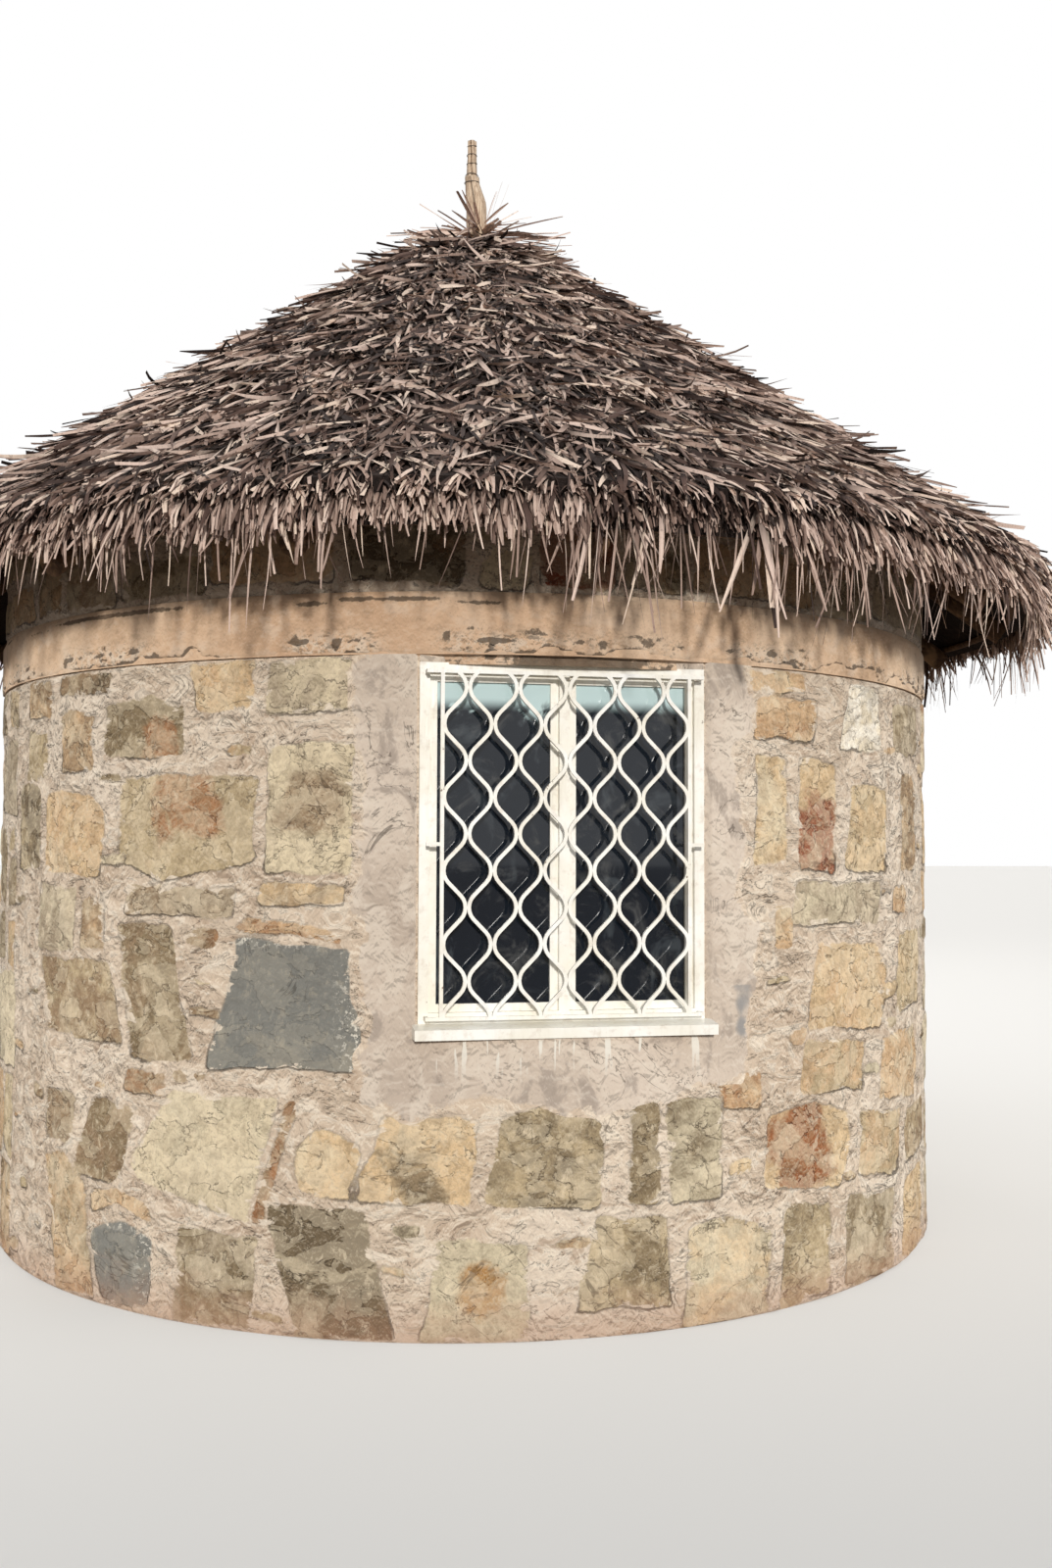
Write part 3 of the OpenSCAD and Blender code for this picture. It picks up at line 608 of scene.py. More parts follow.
# %% The stones that the photograph shows
# Each entry is: colour, stain colour, amount of stain, corners as (along, height) in metres, and, where the
# stain is one spot, the spot's place and radius.
SEEN_STONES = [
    (YELLOW, TAN, 0.5, [(-1.27, 2.02), (-1.05, 2.02), (-1.04, 2.19), (-1.29, 2.19)]),
    (CREAM, GREY, 0.5, [(-1.00, 2.01), (-0.69, 2.02), (-0.69, 2.19), (-1.00, 2.19)]),
    (BROWN, DARK_OLIVE, 0.4, [(-1.99, 2.12), (-1.68, 2.11), (-1.66, 2.18), (-1.98, 2.19)]),
    (BROWN, TAN, 0.5, [(-2.27, 2.04), (-2.05, 2.04), (-2.04, 2.19), (-2.26, 2.19)]),
    (OLIVE, RUST, 0.9,
     [(-1.69, 1.89), (-1.50, 1.87), (-1.32, 1.88), (-1.32, 2.05), (-1.48, 2.08), (-1.70, 2.07)],
     (-1.42, 1.90, 0.11)),
    (TAN, BROWN, 0.6, [(-1.97, 1.83), (-1.75, 1.83), (-1.75, 2.04), (-1.96, 2.06)]),
    (KHAKI, OLIVE, 0.5, [(-2.27, 1.82), (-2.06, 1.82), (-2.06, 2.00), (-2.26, 2.01)]),
    (KHAKI, RUST, 0.95,
     [(-1.61, 1.53), (-1.42, 1.46), (-1.04, 1.53), (-1.02, 1.81), (-1.38, 1.83), (-1.60, 1.81)],
     (-1.29, 1.74, 0.16)),
    (CREAM, BROWN, 0.9, [(-1.00, 1.49), (-0.70, 1.49), (-0.69, 1.91), (-0.99, 1.91)], (-0.85, 1.71, 0.16)),
    (YELLOW, TAN, 0.6, [(-2.08, 1.48), (-1.72, 1.47), (-1.69, 1.70), (-1.76, 1.77), (-2.07, 1.77)]),
    (DARK_OLIVE, KHAKI, 0.5, [(-2.35, 1.49), (-2.12, 1.50), (-2.12, 1.79), (-2.34, 1.80)]),
    (GREY, BROWN, 0.5, [(-1.58, 1.34), (-1.12, 1.34), (-1.10, 1.44), (-1.56, 1.45)]),
    (YELLOW, BROWN, 0.45, [(-1.03, 1.38), (-0.72, 1.38), (-0.71, 1.45), (-1.02, 1.46)]),
    (GREY, PALE_GREEN, 0.5, [(-2.13, 1.20), (-1.86, 1.20), (-1.85, 1.43), (-2.12, 1.44)]),
    (BROWN, TAN, 0.4, [(-1.82, 1.21), (-1.67, 1.21), (-1.67, 1.38), (-1.81, 1.39)]),
    (OLIVE, BROWN, 0.5, [(-1.53, 0.85), (-1.25, 0.85), (-1.36, 1.31), (-1.62, 1.32)]),
    (SLATE, SLATE, 0.2, [(-1.21, 0.84), (-0.66, 0.85), (-0.71, 1.24), (-1.10, 1.28)]),
    (TAN, RUST, 0.45, [(-1.10, 1.30), (-0.72, 1.26), (-0.76, 1.32), (-1.06, 1.35)]),
    (BROWN, RUST, 0.3, [(-1.31, 1.24), (-1.18, 1.24), (-1.17, 1.30), (-1.31, 1.30)]),
    (BROWN, KHAKI, 0.5, [(-2.04, 0.91), (-1.57, 0.89), (-1.65, 1.18), (-2.11, 1.18)]),
    (BROWN, RUST, 0.5, [(-1.57, 0.74), (-1.38, 0.73), (-1.37, 0.82), (-1.55, 0.83)]),
    (CREAM, PALE_GREEN, 0.5, [(-1.55, 0.50), (-1.50, 0.44), (-1.05, 0.35), (-0.93, 0.77), (-1.35, 0.77)]),
    (RUST, BROWN, 0.6, [(-1.04, 0.36), (-1.00, 0.35), (-0.87, 0.76), (-0.91, 0.77)]),
    (BROWN, OLIVE, 0.5, [(-1.84, 0.43), (-1.60, 0.42), (-1.50, 0.69), (-1.74, 0.72)]),
    (BROWN, GREY, 0.5, [(-2.04, 0.52), (-1.86, 0.53), (-1.84, 0.70), (-2.03, 0.71)]),
    (YELLOW, CREAM, 0.4, [(-0.87, 0.46), (-0.69, 0.45), (-0.66, 0.61), (-0.80, 0.68), (-0.88, 0.60)]),
    (SLATE, SLATE, 0.2, [(-1.67, 0.03), (-1.44, 0.02), (-1.42, 0.26), (-1.56, 0.31), (-1.74, 0.25)]),
    (TAN, RUST, 0.4,
     [(-1.74, 0.31), (-1.58, 0.35), (-1.43, 0.31), (-1.44, 0.37), (-1.60, 0.41), (-1.74, 0.38)]),
    (TAN, OLIVE, 0.5, [(-1.95, 0.01), (-1.71, 0.01), (-1.77, 0.41), (-1.90, 0.50), (-2.04, 0.46)]),
    (OLIVE, GREY, 0.5, [(-1.34, 0.01), (-1.04, 0.01), (-1.01, 0.31), (-1.31, 0.33)]),
    (OLIVE, DARK_OLIVE, 0.95, [(-0.88, 0.01), (-0.55, 0.01), (-0.64, 0.42), (-0.98, 0.42)]),
    (PALE_GREEN, OCHRE, 0.9, [(-0.46, 0.01), (-0.12, 0.01), (-0.13, 0.30), (-0.42, 0.32)],
     (-0.27, 0.17, 0.11)),
    (YELLOW, DARK_OLIVE, 0.75, [(-0.70, 0.45), (-0.31, 0.43), (-0.28, 0.71), (-0.60, 0.72)],
     (-0.48, 0.50, 0.16)),
    (KHAKI, DARK_OLIVE, 0.5, [(-0.27, 0.44), (0.11, 0.41), (0.13, 0.69), (-0.06, 0.75), (-0.22, 0.72)]),
    (OLIVE, KHAKI, 0.5, [(0.20, 0.43), (0.32, 0.42), (0.31, 0.81), (0.21, 0.81)]),
    (PALE_GREEN, OLIVE, 0.5, [(0.35, 0.41), (0.56, 0.40), (0.55, 0.75), (0.34, 0.76)]),
    (TAN, RUST, 0.4, [(0.54, 0.70), (0.72, 0.69), (0.71, 0.82), (0.53, 0.82)]),
    (YELLOW, ORANGE_RUST, 1.0,
     [(0.73, 0.42), (1.12, 0.37), (1.19, 0.52), (1.17, 0.63), (0.96, 0.70), (0.74, 0.67)],
     (0.90, 0.55, 0.20)),
    (OLIVE, KHAKI, 0.5, [(0.03, 0.09), (0.37, 0.07), (0.33, 0.37), (0.09, 0.39)]),
    (PALE_GREEN, YELLOW, 0.45, [(0.40, 0.01), (0.74, 0.01), (0.77, 0.28), (0.60, 0.36), (0.42, 0.33)]),
    (KHAKI, OLIVE, 0.5, [(0.80, 0.01), (1.07, 0.01), (1.06, 0.33), (0.82, 0.35)]),
    (YELLOW, TAN, 0.5, [(0.93, 0.94), (1.42, 0.91), (1.49, 1.12), (1.40, 1.23), (1.00, 1.25)]),
    (KHAKI, TAN, 0.5, [(0.90, 0.72), (1.28, 0.70), (1.30, 0.88), (0.93, 0.91)]),
    (TAN, YELLOW, 0.5, [(0.66, 2.12), (0.94, 2.12), (0.93, 2.19), (0.66, 2.19)]),
    (TAN, RUST, 0.35, [(0.69, 1.95), (0.98, 1.95), (1.00, 2.10), (0.70, 2.10)]),
    (WHITE, CREAM, 0.4, [(1.12, 1.93), (1.43, 1.94), (1.42, 2.17), (1.20, 2.18)]),
    (OLIVE, GREY, 0.5, [(1.54, 1.93), (1.91, 1.95), (1.90, 2.14), (1.55, 2.13)]),
    (YELLOW, CREAM, 0.5, [(0.68, 1.51), (0.84, 1.53), (0.84, 1.89), (0.69, 1.90)]),
    (YELLOW, BRICK, 1.0, [(0.89, 1.49), (1.10, 1.48), (1.11, 1.89), (0.91, 1.89)], (0.99, 1.60, 0.21)),
    (YELLOW, KHAKI, 0.5, [(1.16, 1.50), (1.47, 1.49), (1.49, 1.81), (1.19, 1.82)]),
    (BROWN, TAN, 0.5, [(1.63, 1.49), (1.83, 1.49), (1.85, 1.88), (1.65, 1.88)]),
    (GREY, PALE_GREEN, 0.5, [(0.86, 1.31), (1.39, 1.30), (1.41, 1.45), (0.88, 1.47)]),
    (TAN, RUST, 0.4, [(1.52, 1.33), (1.69, 1.33), (1.69, 1.44), (1.53, 1.44)]),
    (TAN, CREAM, 0.5, [(0.78, 1.23), (0.86, 1.23), (0.86, 1.38), (0.78, 1.38)]),
    (KHAKI, YELLOW, 0.5, [(1.57, 0.95), (1.89, 0.97), (1.87, 1.27), (1.60, 1.25)]),
    (TAN, CREAM, 0.4, [(1.39, 0.65), (1.81, 0.61), (1.83, 0.89), (1.43, 0.87)]),
    (KHAKI, TAN, 0.5, [(1.23, 0.39), (1.57, 0.35), (1.61, 0.59), (1.25, 0.63)]),
    (OLIVE, GREY, 0.5, [(1.14, 0.01), (1.51, 0.01), (1.53, 0.31), (1.16, 0.34)]),
    (YELLOW, TAN, 0.5, [(1.60, 0.01), (1.97, 0.01), (1.95, 0.33), (1.63, 0.31)]),
    (BROWN, KHAKI, 0.5, [(1.65, 0.37), (2.01, 0.39), (1.99, 0.59), (1.67, 0.58)]),
]
BRICK_COLOURED_HEAD = (BRICK, BROWN, 0.4, [(-0.10, 2.42), (0.16, 2.42), (0.15, 2.68), (-0.09, 2.68)])

# %% [markdown]
# The rest of the wall is filled row by row. Each row gets a height, stones get mixed widths, and their
# corners are nudged so that no joint runs straight. A wide stone is sometimes two thin ones on each other.

# %% Lay the stones that the photograph doesn't show
LEAST_STONE = 0.14
LEAST_DRAWN = 0.20
WIDEST_STONE = 0.58
JOINT_HALF = (0.010, 0.028)
CORNER_NUDGE = 0.024


def lay_rows(draw, u_low, u_high, z_low, z_high, tallest=0.42):
    """Fills a rectangle of the unrolled wall with rows of four-cornered stones."""
    stones = []
    z = z_low
    while z_high - z > 0.01:
        height = min(draw.uniform(LEAST_DRAWN, tallest), z_high - z)
        if z_high - z - height < LEAST_STONE:
            height = z_high - z
        u = u_low
        while u_high - u > 0.01:
            width = min(draw.uniform(LEAST_DRAWN, WIDEST_STONE), u_high - u)
            if u_high - u - width < LEAST_STONE:
                width = u_high - u
            levels = [z, z + height]
            if height > 2 * LEAST_STONE and draw.random() < 0.3:
                levels.insert(1, z + height * draw.uniform(0.35, 0.65))
            for low, high in zip(levels, levels[1:]):
                gap = draw.uniform(*JOINT_HALF)
                box = np.array([
                    (u + gap, low + gap), (u + width - gap, low + gap),
                    (u + width - gap, high - gap), (u + gap, high - gap),
                ]) + draw.uniform(-CORNER_NUDGE, CORNER_NUDGE, (4, 2))
                box[:, 1] = np.clip(box[:, 1], z_low + 0.008, z_high - 0.008)
                box[:, 0] = np.clip(box[:, 0], u_low + 0.006, u_high - 0.006)
                stones.append([tuple(corner) for corner in box])
            u += width
        z += height
    return stones


def toned(draw, outlines):
    """Gives laid stones a colour, a stain and an amount of it."""
    laid = []
    for corners in outlines:
        tone, stain = (STONE_COLOURS[i] for i in draw.integers(0, len(STONE_COLOURS), 2))
        if draw.random() < 0.18:
            stain = RUST
        laid.append((tone, stain, draw.uniform(0.3, 0.6), corners))
    return laid


draw = np.random.default_rng(21)
SEEN_LEFT, SEEN_RIGHT = -2.38, 2.02
hidden = lay_rows(draw, -DOOR_EDGE, SEEN_LEFT, 0.0, WALL_TOP)
hidden += lay_rows(draw, SEEN_RIGHT, DOOR_EDGE, 0.0, WALL_TOP)
wall_stones = SEEN_STONES + toned(draw, hidden)
head_stones = lay_rows(draw, -HALF_ROUND, -0.12, BEAM_TOP, HEAD_TOP, 0.30)
head_stones += lay_rows(draw, 0.18, HALF_ROUND, BEAM_TOP, HEAD_TOP, 0.30)
head_stones = toned(draw, head_stones) + [BRICK_COLOURED_HEAD]
print("%d stones in the wall, %d above the beam" % (len(wall_stones), len(head_stones)))

# %% [markdown]
# A quarried stone's edge is chipped, so each outline is walked in short steps and nudged by noise. The
# distance from any point to the nearest outline is needed several times: slivers are pushed in where the
# joints are widest, and the wall's relief and its colours change at the rims.

# %% Outlines and distances
CHIP_STEP = 0.030
CORNER_CUT = 0.012


def chipped_outline(corners, seed):
    """Walks round a stone's corners in short steps, rounds each corner and nudges each point."""
    corners = np.array(corners, float)
    outline = []
    for i, start in enumerate(corners):
        end = corners[(i + 1) % len(corners)]
        length = np.linalg.norm(end - start)
        clip = min(CORNER_CUT / length, 0.3)
        for share in np.linspace(clip, 1 - clip, max(2, round(length / CHIP_STEP))):
            outline.append(start + (end - start) * share)
    outline = np.array(outline)
    away = outline - outline.mean(0)
    place = spots(outline[:, 0], outline[:, 1], 3.7 * seed)
    nudge = 0.007 * value_noise(place, 0.05) + 0.013 * value_noise(place, 0.16)
    return outline + away / np.linalg.norm(away, axis=1, keepdims=True) * nudge[:, None]


def inside(outline, u, z):
    """True for each point whose level line to the right crosses the outline an odd number of times."""
    count = np.zeros(len(u), int)
    for (u_a, z_a), (u_b, z_b) in zip(outline, np.roll(outline, -1, 0)):
        if z_a != z_b:
            count += ((z_a > z) != (z_b > z)) & (u < u_a + (z - z_a) / (z_b - z_a) * (u_b - u_a))
    return count % 2 == 1


def nearest_rim(outlines, u, z):
    """Number of the stone whose rim is nearest and the distance to it, negative on a stone."""
    rim, owner = [], []
    for number, outline in enumerate(outlines):
        run = np.roll(outline, -1, 0) - outline
        for share in (0.0, 0.25, 0.5, 0.75):
            rim.append(outline + share * run)
            owner.append(np.full(len(outline), number))
    rim, owner = np.concatenate(rim), np.concatenate(owner)
    tree = KDTree(len(rim))
    for i, (x, y) in enumerate(rim):
        tree.insert((x, y, 0), i)
    tree.balance()
    found = [tree.find((x, y, 0)) for x, y in zip(u, z)]
    number, away = owner[[hit[1] for hit in found]], np.array([hit[2] for hit in found])
    for i, outline in enumerate(outlines):
        (u_low, z_low), (u_high, z_high) = outline.min(0), outline.max(0)
        near = np.flatnonzero((u > u_low) & (u < u_high) & (z > z_low) & (z < z_high))
        mine = near[inside(outline, u[near], z[near])]
        number[mine], away[mine] = i, -np.abs(away[mine])
    return number, away


# %% Push slivers into the widest joints
SLIVER_ROOM = 0.036
SLIVER_LENGTH = (0.06, 0.13)
SLIVER_HEIGHT = (0.022, 0.042)
SPACE_ALONG, SPACE_UP = 0.30, 0.10


def slivers(draw, stones, tries, u_low, u_high, z_low, z_high, keep_out):
    """Thin flat chips of stone, laid where no other stone is near."""
    taken = [chipped_outline(stone[3], i) for i, stone in enumerate(stones)]
    u, z = draw.uniform(u_low, u_high, tries), draw.uniform(z_low, z_high, tries)
    room = nearest_rim(taken, u, z)[1]
    laid, middles = [], []
    for x, y, gap in zip(u, z, room):
        crowded = any(abs(x - a) < SPACE_ALONG and abs(y - b) < SPACE_UP for a, b in middles)
        if crowded or gap < SLIVER_ROOM or keep_out(x, y):
            continue
        middles.append((x, y))
        length, height = draw.uniform(*SLIVER_LENGTH), min(gap, draw.uniform(*SLIVER_HEIGHT))
        lean = draw.uniform(-0.2, 0.2)
        half = ((-1, -1), (1, -1), (1, 1), (-1, 1))
        corners = [(x + a * length / 2, y + b * height / 2 + lean * a * length / 2) for a, b in half]
        corners = [(a + draw.uniform(-0.006, 0.006), b + draw.uniform(-0.006, 0.006)) for a, b in corners]
        if all(z_low < b < z_high for _, b in corners):
            laid.append(corners)
    return toned(draw, laid)


# How far slivers keep away from the window's sides, its sill and the door, and how far the plaster reaches.
CLEAR_BESIDE, CLEAR_BELOW, CLEAR_BY_DOOR = 0.20, 0.24, 0.22
PLASTER_BESIDE, PLASTER_BELOW, PLASTER_BY_DOOR = 0.17, 0.21, 0.18


def near_opening(u, z):
    by_window = abs(u) < WINDOW_EDGE + CLEAR_BESIDE and z > WINDOW_LOW - CLEAR_BELOW
    return by_window or abs(u) > DOOR_EDGE - CLEAR_BY_DOOR


wall_stones += slivers(draw, wall_stones, 1500, -DOOR_EDGE, DOOR_EDGE, 0.02, WALL_TOP - 0.02, near_opening)
print("%d stones with the slivers" % len(wall_stones))

# %% [markdown]
# The relief is worked out for any place on the wall. Each stone is a plane with a small tilt, a few chipped
# facets that slope to its edges, and some roughness; it stands a little proud of the mortar or lies behind
# it. The mortar is laid in torn layers. Round the window and the door the wall is kept back for the plaster.

# %% Relief of stones and mortar
CHIPS = 4
FACE_OUT = 0.013
DEEPEST_CHIP = 0.011


def stone_shapes(outlines):
    """Middle, tilt, height and chip facets of each stone."""
    draw = np.random.default_rng(len(outlines))
    middle = np.array([outline.mean(0) for outline in outlines])
    heading = draw.uniform(0, 2 * math.pi, (len(outlines), CHIPS))
    facing = np.stack([np.cos(heading), np.sin(heading)], 2)
    reach = np.array([((o - m) @ f.T).max(0) for o, m, f in zip(outlines, middle, facing)])
    return {
        "middle": middle, "facing": facing, "start": reach * draw.uniform(0.35, 0.85, reach.shape),
        "slope": draw.uniform(0.08, 0.30, reach.shape), "tilt": draw.normal(0, 0.012, (len(outlines), 2)),
        "proud": draw.uniform(-0.003, 0.009, len(outlines)),
        "half_height": np.array([np.ptp(outline[:, 1]) / 2 for outline in outlines]),
    }


def torn_layers(place, size, layers):
    """Noise cut into levels, as mortar is in torn layers; each level is 1 high."""
    value = layers * value_noise(place, size)
    return np.floor(value) + smooth_step(value - np.floor(value), 0.45, 1.0)


def wall_relief(outlines, shapes, u, z):
    """How far the face stands out, how far the nearest rim is, whose it is, and how open and shaded the gap
    at that rim is.
    """
    number, away = nearest_rim(outlines, u, z)
    edge = away + 0.006 * value_noise(spots(u, z, 2), 0.10) + 0.004 * value_noise(spots(u, z, 4), 0.04)
    from_middle = np.column_stack([u, z]) - shapes["middle"][number]
    beyond = (from_middle[:, None, :] * shapes["facing"][number]).sum(2) - shapes["start"][number]
    drop = np.minimum((shapes["slope"][number] * beyond).max(1).clip(0), DEEPEST_CHIP)
    seeded = spots(u, z, 0) + number[:, None] * np.array([0, 0, 1.7])
    stone = shapes["proud"][number] + (from_middle * shapes["tilt"][number]).sum(1) - drop
    stone += 0.0035 * rough(seeded, 0.14) + 0.0015 * value_noise(seeded, 0.04)
    smear = spots(u, z * 1.6, 6)
    mortar = 0.004 * rough(smear, 0.26, 2) + 0.0024 * torn_layers(smear, 0.13, 1.5)
    mortar += 0.0014 * rough(spots(u, z * 1.3, 7), 0.05, 2)
    # Joints below stones are opened more than those above them, and their extra darkness there is painted
    # shade.
    below = smooth_step(-from_middle[:, 1] / shapes["half_height"][number], 0.1, 0.8)
    joint = smooth_step(value_noise(spots(u, z * 1.8, 21), 0.17), -0.20, 0.20) * (0.35 + 0.65 * below)
    on_stone = smooth_step(-edge, -0.006 * (1 - joint), 0.020 - 0.011 * joint)
    out = FACE_OUT + stone * on_stone + mortar * (1 - on_stone)
    return np.maximum(out, 0.003), edge, number, joint


# %% Where plaster covers the wall
def plaster_cover(u, z):
    """1 where the plaster round the window or the door is whole, 0 beyond its ragged edge."""
    beside_window = np.minimum(WINDOW_EDGE + PLASTER_BESIDE - np.abs(u), z - (WINDOW_LOW - PLASTER_BELOW))
    by_door = np.abs(u) - (DOOR_EDGE - PLASTER_BY_DOOR)
    within = np.maximum(beside_window, by_door)
    within = within + 0.060 * value_noise(spots(u, z, 8), 0.30) + 0.040 * value_noise(spots(u, z, 9), 0.10)
    return smooth_step(within, -0.050, 0.060)


# %% [markdown]
# A skin is a flat grid with a point every centimetre or so, finer where the photograph looks. It is displaced
# by the relief and wrapped round the hut.

# %% Wall skins
FINE_STEP = 0.0110
PLAIN_STEP = 0.0170
RENDER_STEP = 0.0125
EDGE_LIMIT = 0.08


def grid_skin(name, u_low, u_high, z_low, z_high, step):
    """A flat grid added as a primitive at the size of one stretch of wall."""
    across = max(2, round((u_high - u_low) / step))
    up = max(2, round((z_high - z_low) / step))
    select_none()
    bpy.ops.mesh.primitive_grid_add(x_subdivisions=across, y_subdivisions=up, size=1)
    obj = bpy.context.object
    obj.name = obj.data.name = name
    flat = points_of(obj)
    flat[:, 0] = u_low + (flat[:, 0] + 0.5) * (u_high - u_low)
    flat[:, 1] = z_low + (flat[:, 1] + 0.5) * (z_high - z_low)
    return obj, flat


def drop_faces(obj, hidden):
    """Deletes the faces whose corners are all hidden."""
    edit(obj)
    bpy.ops.mesh.select_mode(type="FACE")
    bpy.ops.mesh.select_all(action="DESELECT")
    leave_edit()
    chosen = [all(hidden[v] for v in face.vertices) for face in obj.data.polygons]
    obj.data.polygons.foreach_set("select", chosen)
    edit(obj)
    bpy.ops.mesh.delete(type="FACE")
    leave_edit()


def stain_amounts(stones, number, u, z):
    """Each stone's amount of stain, gathered in one spot where the list names the spot."""
    amount = np.array([stone[2] for stone in stones])[number]
    for i, stone in enumerate(stones):
        if len(stone) > 4:
            spot_u, spot_z, radius = stone[4]
            near = 1 - np.hypot(u - spot_u, z - spot_z) / radius + 0.35 * rough(spots(u, z, 16), 0.12, 2)
            amount = np.where(number == i, np.clip(0.15 + near * stone[2] * 1.6, 0, stone[2]), amount)
    return amount


def slate_flecks(outlines, number, slate, u, z):
    """White flecks of lime, which lie on a slate near its right and upper edges."""
    right, top = (np.array([outline[:, i].max() for outline in outlines])[number] for i in (0, 1))
    return slate * np.maximum(smooth_step(right - u, 0.13, 0.0), smooth_step(top - z, 0.05, 0.0))


def wall_skin(name, stones, outlines, spans):
    """One skin for each span (u_low, u_high, z_low, z_high, step), joined into a piece."""
    shapes = stone_shapes(outlines)
    made = []
    for u_low, u_high, z_low, z_high, step in spans:
        obj, flat = grid_skin(name, u_low, u_high, z_low, z_high, step)
        u, z = flat[:, 0], flat[:, 1]
        out, edge, number, joint = wall_relief(outlines, shapes, u, z)
        slate = np.array([float(stone[0] == SLATE) for stone in stones])[number]
        covered = plaster_cover(u, z) * (z_high <= WALL_TOP)
        flat[:, 2] = out * (1 - 0.85 * smooth_step(covered, 0.35, 0.85))
        flat[:, 2] *= smooth_step(z, z_low - 0.001, z_low + 0.01) * smooth_step(z_high - z, -0.001, 0.01)
        set_points(obj, wrap(flat))
        for item, attribute in enumerate(("tone", "stain")):
            add_colour(obj, attribute, np.array([stone[item][:3] for stone in stones])[number])
        add_numbers(
            obj, edge=np.clip(edge, -EDGE_LIMIT, EDGE_LIMIT), joint=joint, slate=slate,
            stain_amount=stain_amounts(stones, number, u, z),
            fleck=slate_flecks(outlines, number, slate, u, z),
        )
        drop_faces(obj, covered > 0.97)
        made.append(obj)
    return settle(join_as(name, made), WALL_FACE, smooth=True)


wall_outlines = [chipped_outline(stone[3], i) for i, stone in enumerate(wall_stones)]
head_outlines = [chipped_outline(stone[3], i) for i, stone in enumerate(head_stones)]
front_spans = [
    (SEEN_LEFT, -WINDOW_EDGE, 0.0, WALL_TOP, FINE_STEP),
    (-WINDOW_EDGE, WINDOW_EDGE, 0.0, WINDOW_LOW, FINE_STEP),
    (WINDOW_EDGE, SEEN_RIGHT, 0.0, WALL_TOP, FINE_STEP),
]
wall_skin("wall_face_front", wall_stones, wall_outlines, front_spans)
for side, u_low, u_high in (("east", SEEN_RIGHT, DOOR_EDGE), ("west", -DOOR_EDGE, SEEN_LEFT)):
    wall_skin("wall_face_" + side, wall_stones, wall_outlines, [(u_low, u_high, 0.0, WALL_TOP, PLAIN_STEP)])
head_span = (-HALF_ROUND, HALF_ROUND, BEAM_TOP, HEAD_TOP, PLAIN_STEP)
wall_skin("wall_face_head", head_stones, head_outlines, [head_span])

# %% [markdown]
# The plaster round an opening has no straight edge: it was wiped out thin over the neighbouring stones. Its
# skin lies on the wall's own relief at its ragged edge and is smooth and thicker near the opening.

# %% Plaster round the window and the door
PLASTER_OUT = 0.019
JAMB_IN = 0.02
# A damp grey spot to the right of the window: its middle and its half width and half height.
DAMP_U, DAMP_Z, DAMP_WIDE, DAMP_HIGH = 0.62, 1.03, 0.07, 0.17


def plaster_patch(name, spans, middle, jamb_low):
    """Plaster skins round an opening whose middle is at u = middle and whose jambs start at jamb_low."""
    shapes = stone_shapes(wall_outlines)
    made = []
    for u_low, u_high, z_low, z_high in spans:
        obj, flat = grid_skin(name, u_low, u_high, z_low, z_high, RENDER_STEP)
        at_jamb = (np.abs(flat[:, 0]) < min(abs(u_low), abs(u_high)) + 0.002) & (flat[:, 1] > jamb_low)
        u, z = flat[:, 0] + middle, flat[:, 1]
        u = np.where(u > HALF_ROUND, u - 2 * HALF_ROUND, u)
        out = wall_relief(wall_outlines, shapes, u, z)[0]
        cover = plaster_cover(u, z)
        thick = smooth_step(cover, 0.05, 0.75)
        smooth = PLASTER_OUT + 0.0022 * rough(spots(u, z, 11), 0.22)
        smooth += 0.0012 * torn_layers(spots(u, z, 12), 0.09, 1.2)
        flat[:, 2] = np.where(at_jamb, -JAMB_IN, (out - 0.002) * (1 - thick) + smooth * thick)
        flat[:, 0] += middle
        set_points(obj, wrap(flat))
        in_window = (np.abs(u) < WINDOW_EDGE) & (z < WINDOW_LOW)
        from_spot = np.hypot((u - DAMP_U) / DAMP_WIDE, (z - DAMP_Z) / DAMP_HIGH)
        wet = 0.9 * rough(spots(u, z, 14), 0.12) + 1.5 * (1 - from_spot).clip(-1, 1)
        add_numbers(
            obj, cover=cover, under_sill=smooth_step(z, WINDOW_LOW - 0.16, WINDOW_LOW - 0.02) * in_window,
            wet_grey=np.clip(wet, 0, 1) * (z < WINDOW_LOW + 0.15),
        )
        drop_faces(obj, cover < 0.03)
        made.append(obj)
    return join_as(name, made)


BED_STEP = 0.04


def head_bed(name, over):
    """The bed of plaster between an opening's frame and the ring beam, a box with rounded edges."""
    low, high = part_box(over)
    middle = ((low.x + high.x) / 2, (low.y + high.y) / 2, (high.z + WALL_TOP) / 2)
    select_none()
    bpy.ops.mesh.primitive_cube_add(size=1, location=middle)
    obj = bpy.context.object
    obj.scale = (high.x - low.x, high.y - low.y, WALL_TOP - high.z)
    apply_place(obj)
    obj.name = name
    edit(obj)
    bpy.ops.mesh.select_all(action="SELECT")
    bpy.ops.mesh.bevel(offset=0.004, segments=2, affect="EDGES")
    for x in np.arange(low.x + BED_STEP, high.x, BED_STEP):
        bpy.ops.mesh.select_all(action="SELECT")
        bpy.ops.mesh.bisect(plane_co=(x, 0, 0), plane_no=(1, 0, 0))
    leave_edit()
    points = points_of(obj)
    points[:, 1] += 0.003 * value_noise(points, 0.05) * np.sign(middle[1])
    set_points(obj, points)
    none = np.zeros(len(points))
    add_numbers(obj, cover=none + 1, under_sill=none, wet_grey=none)
    return obj


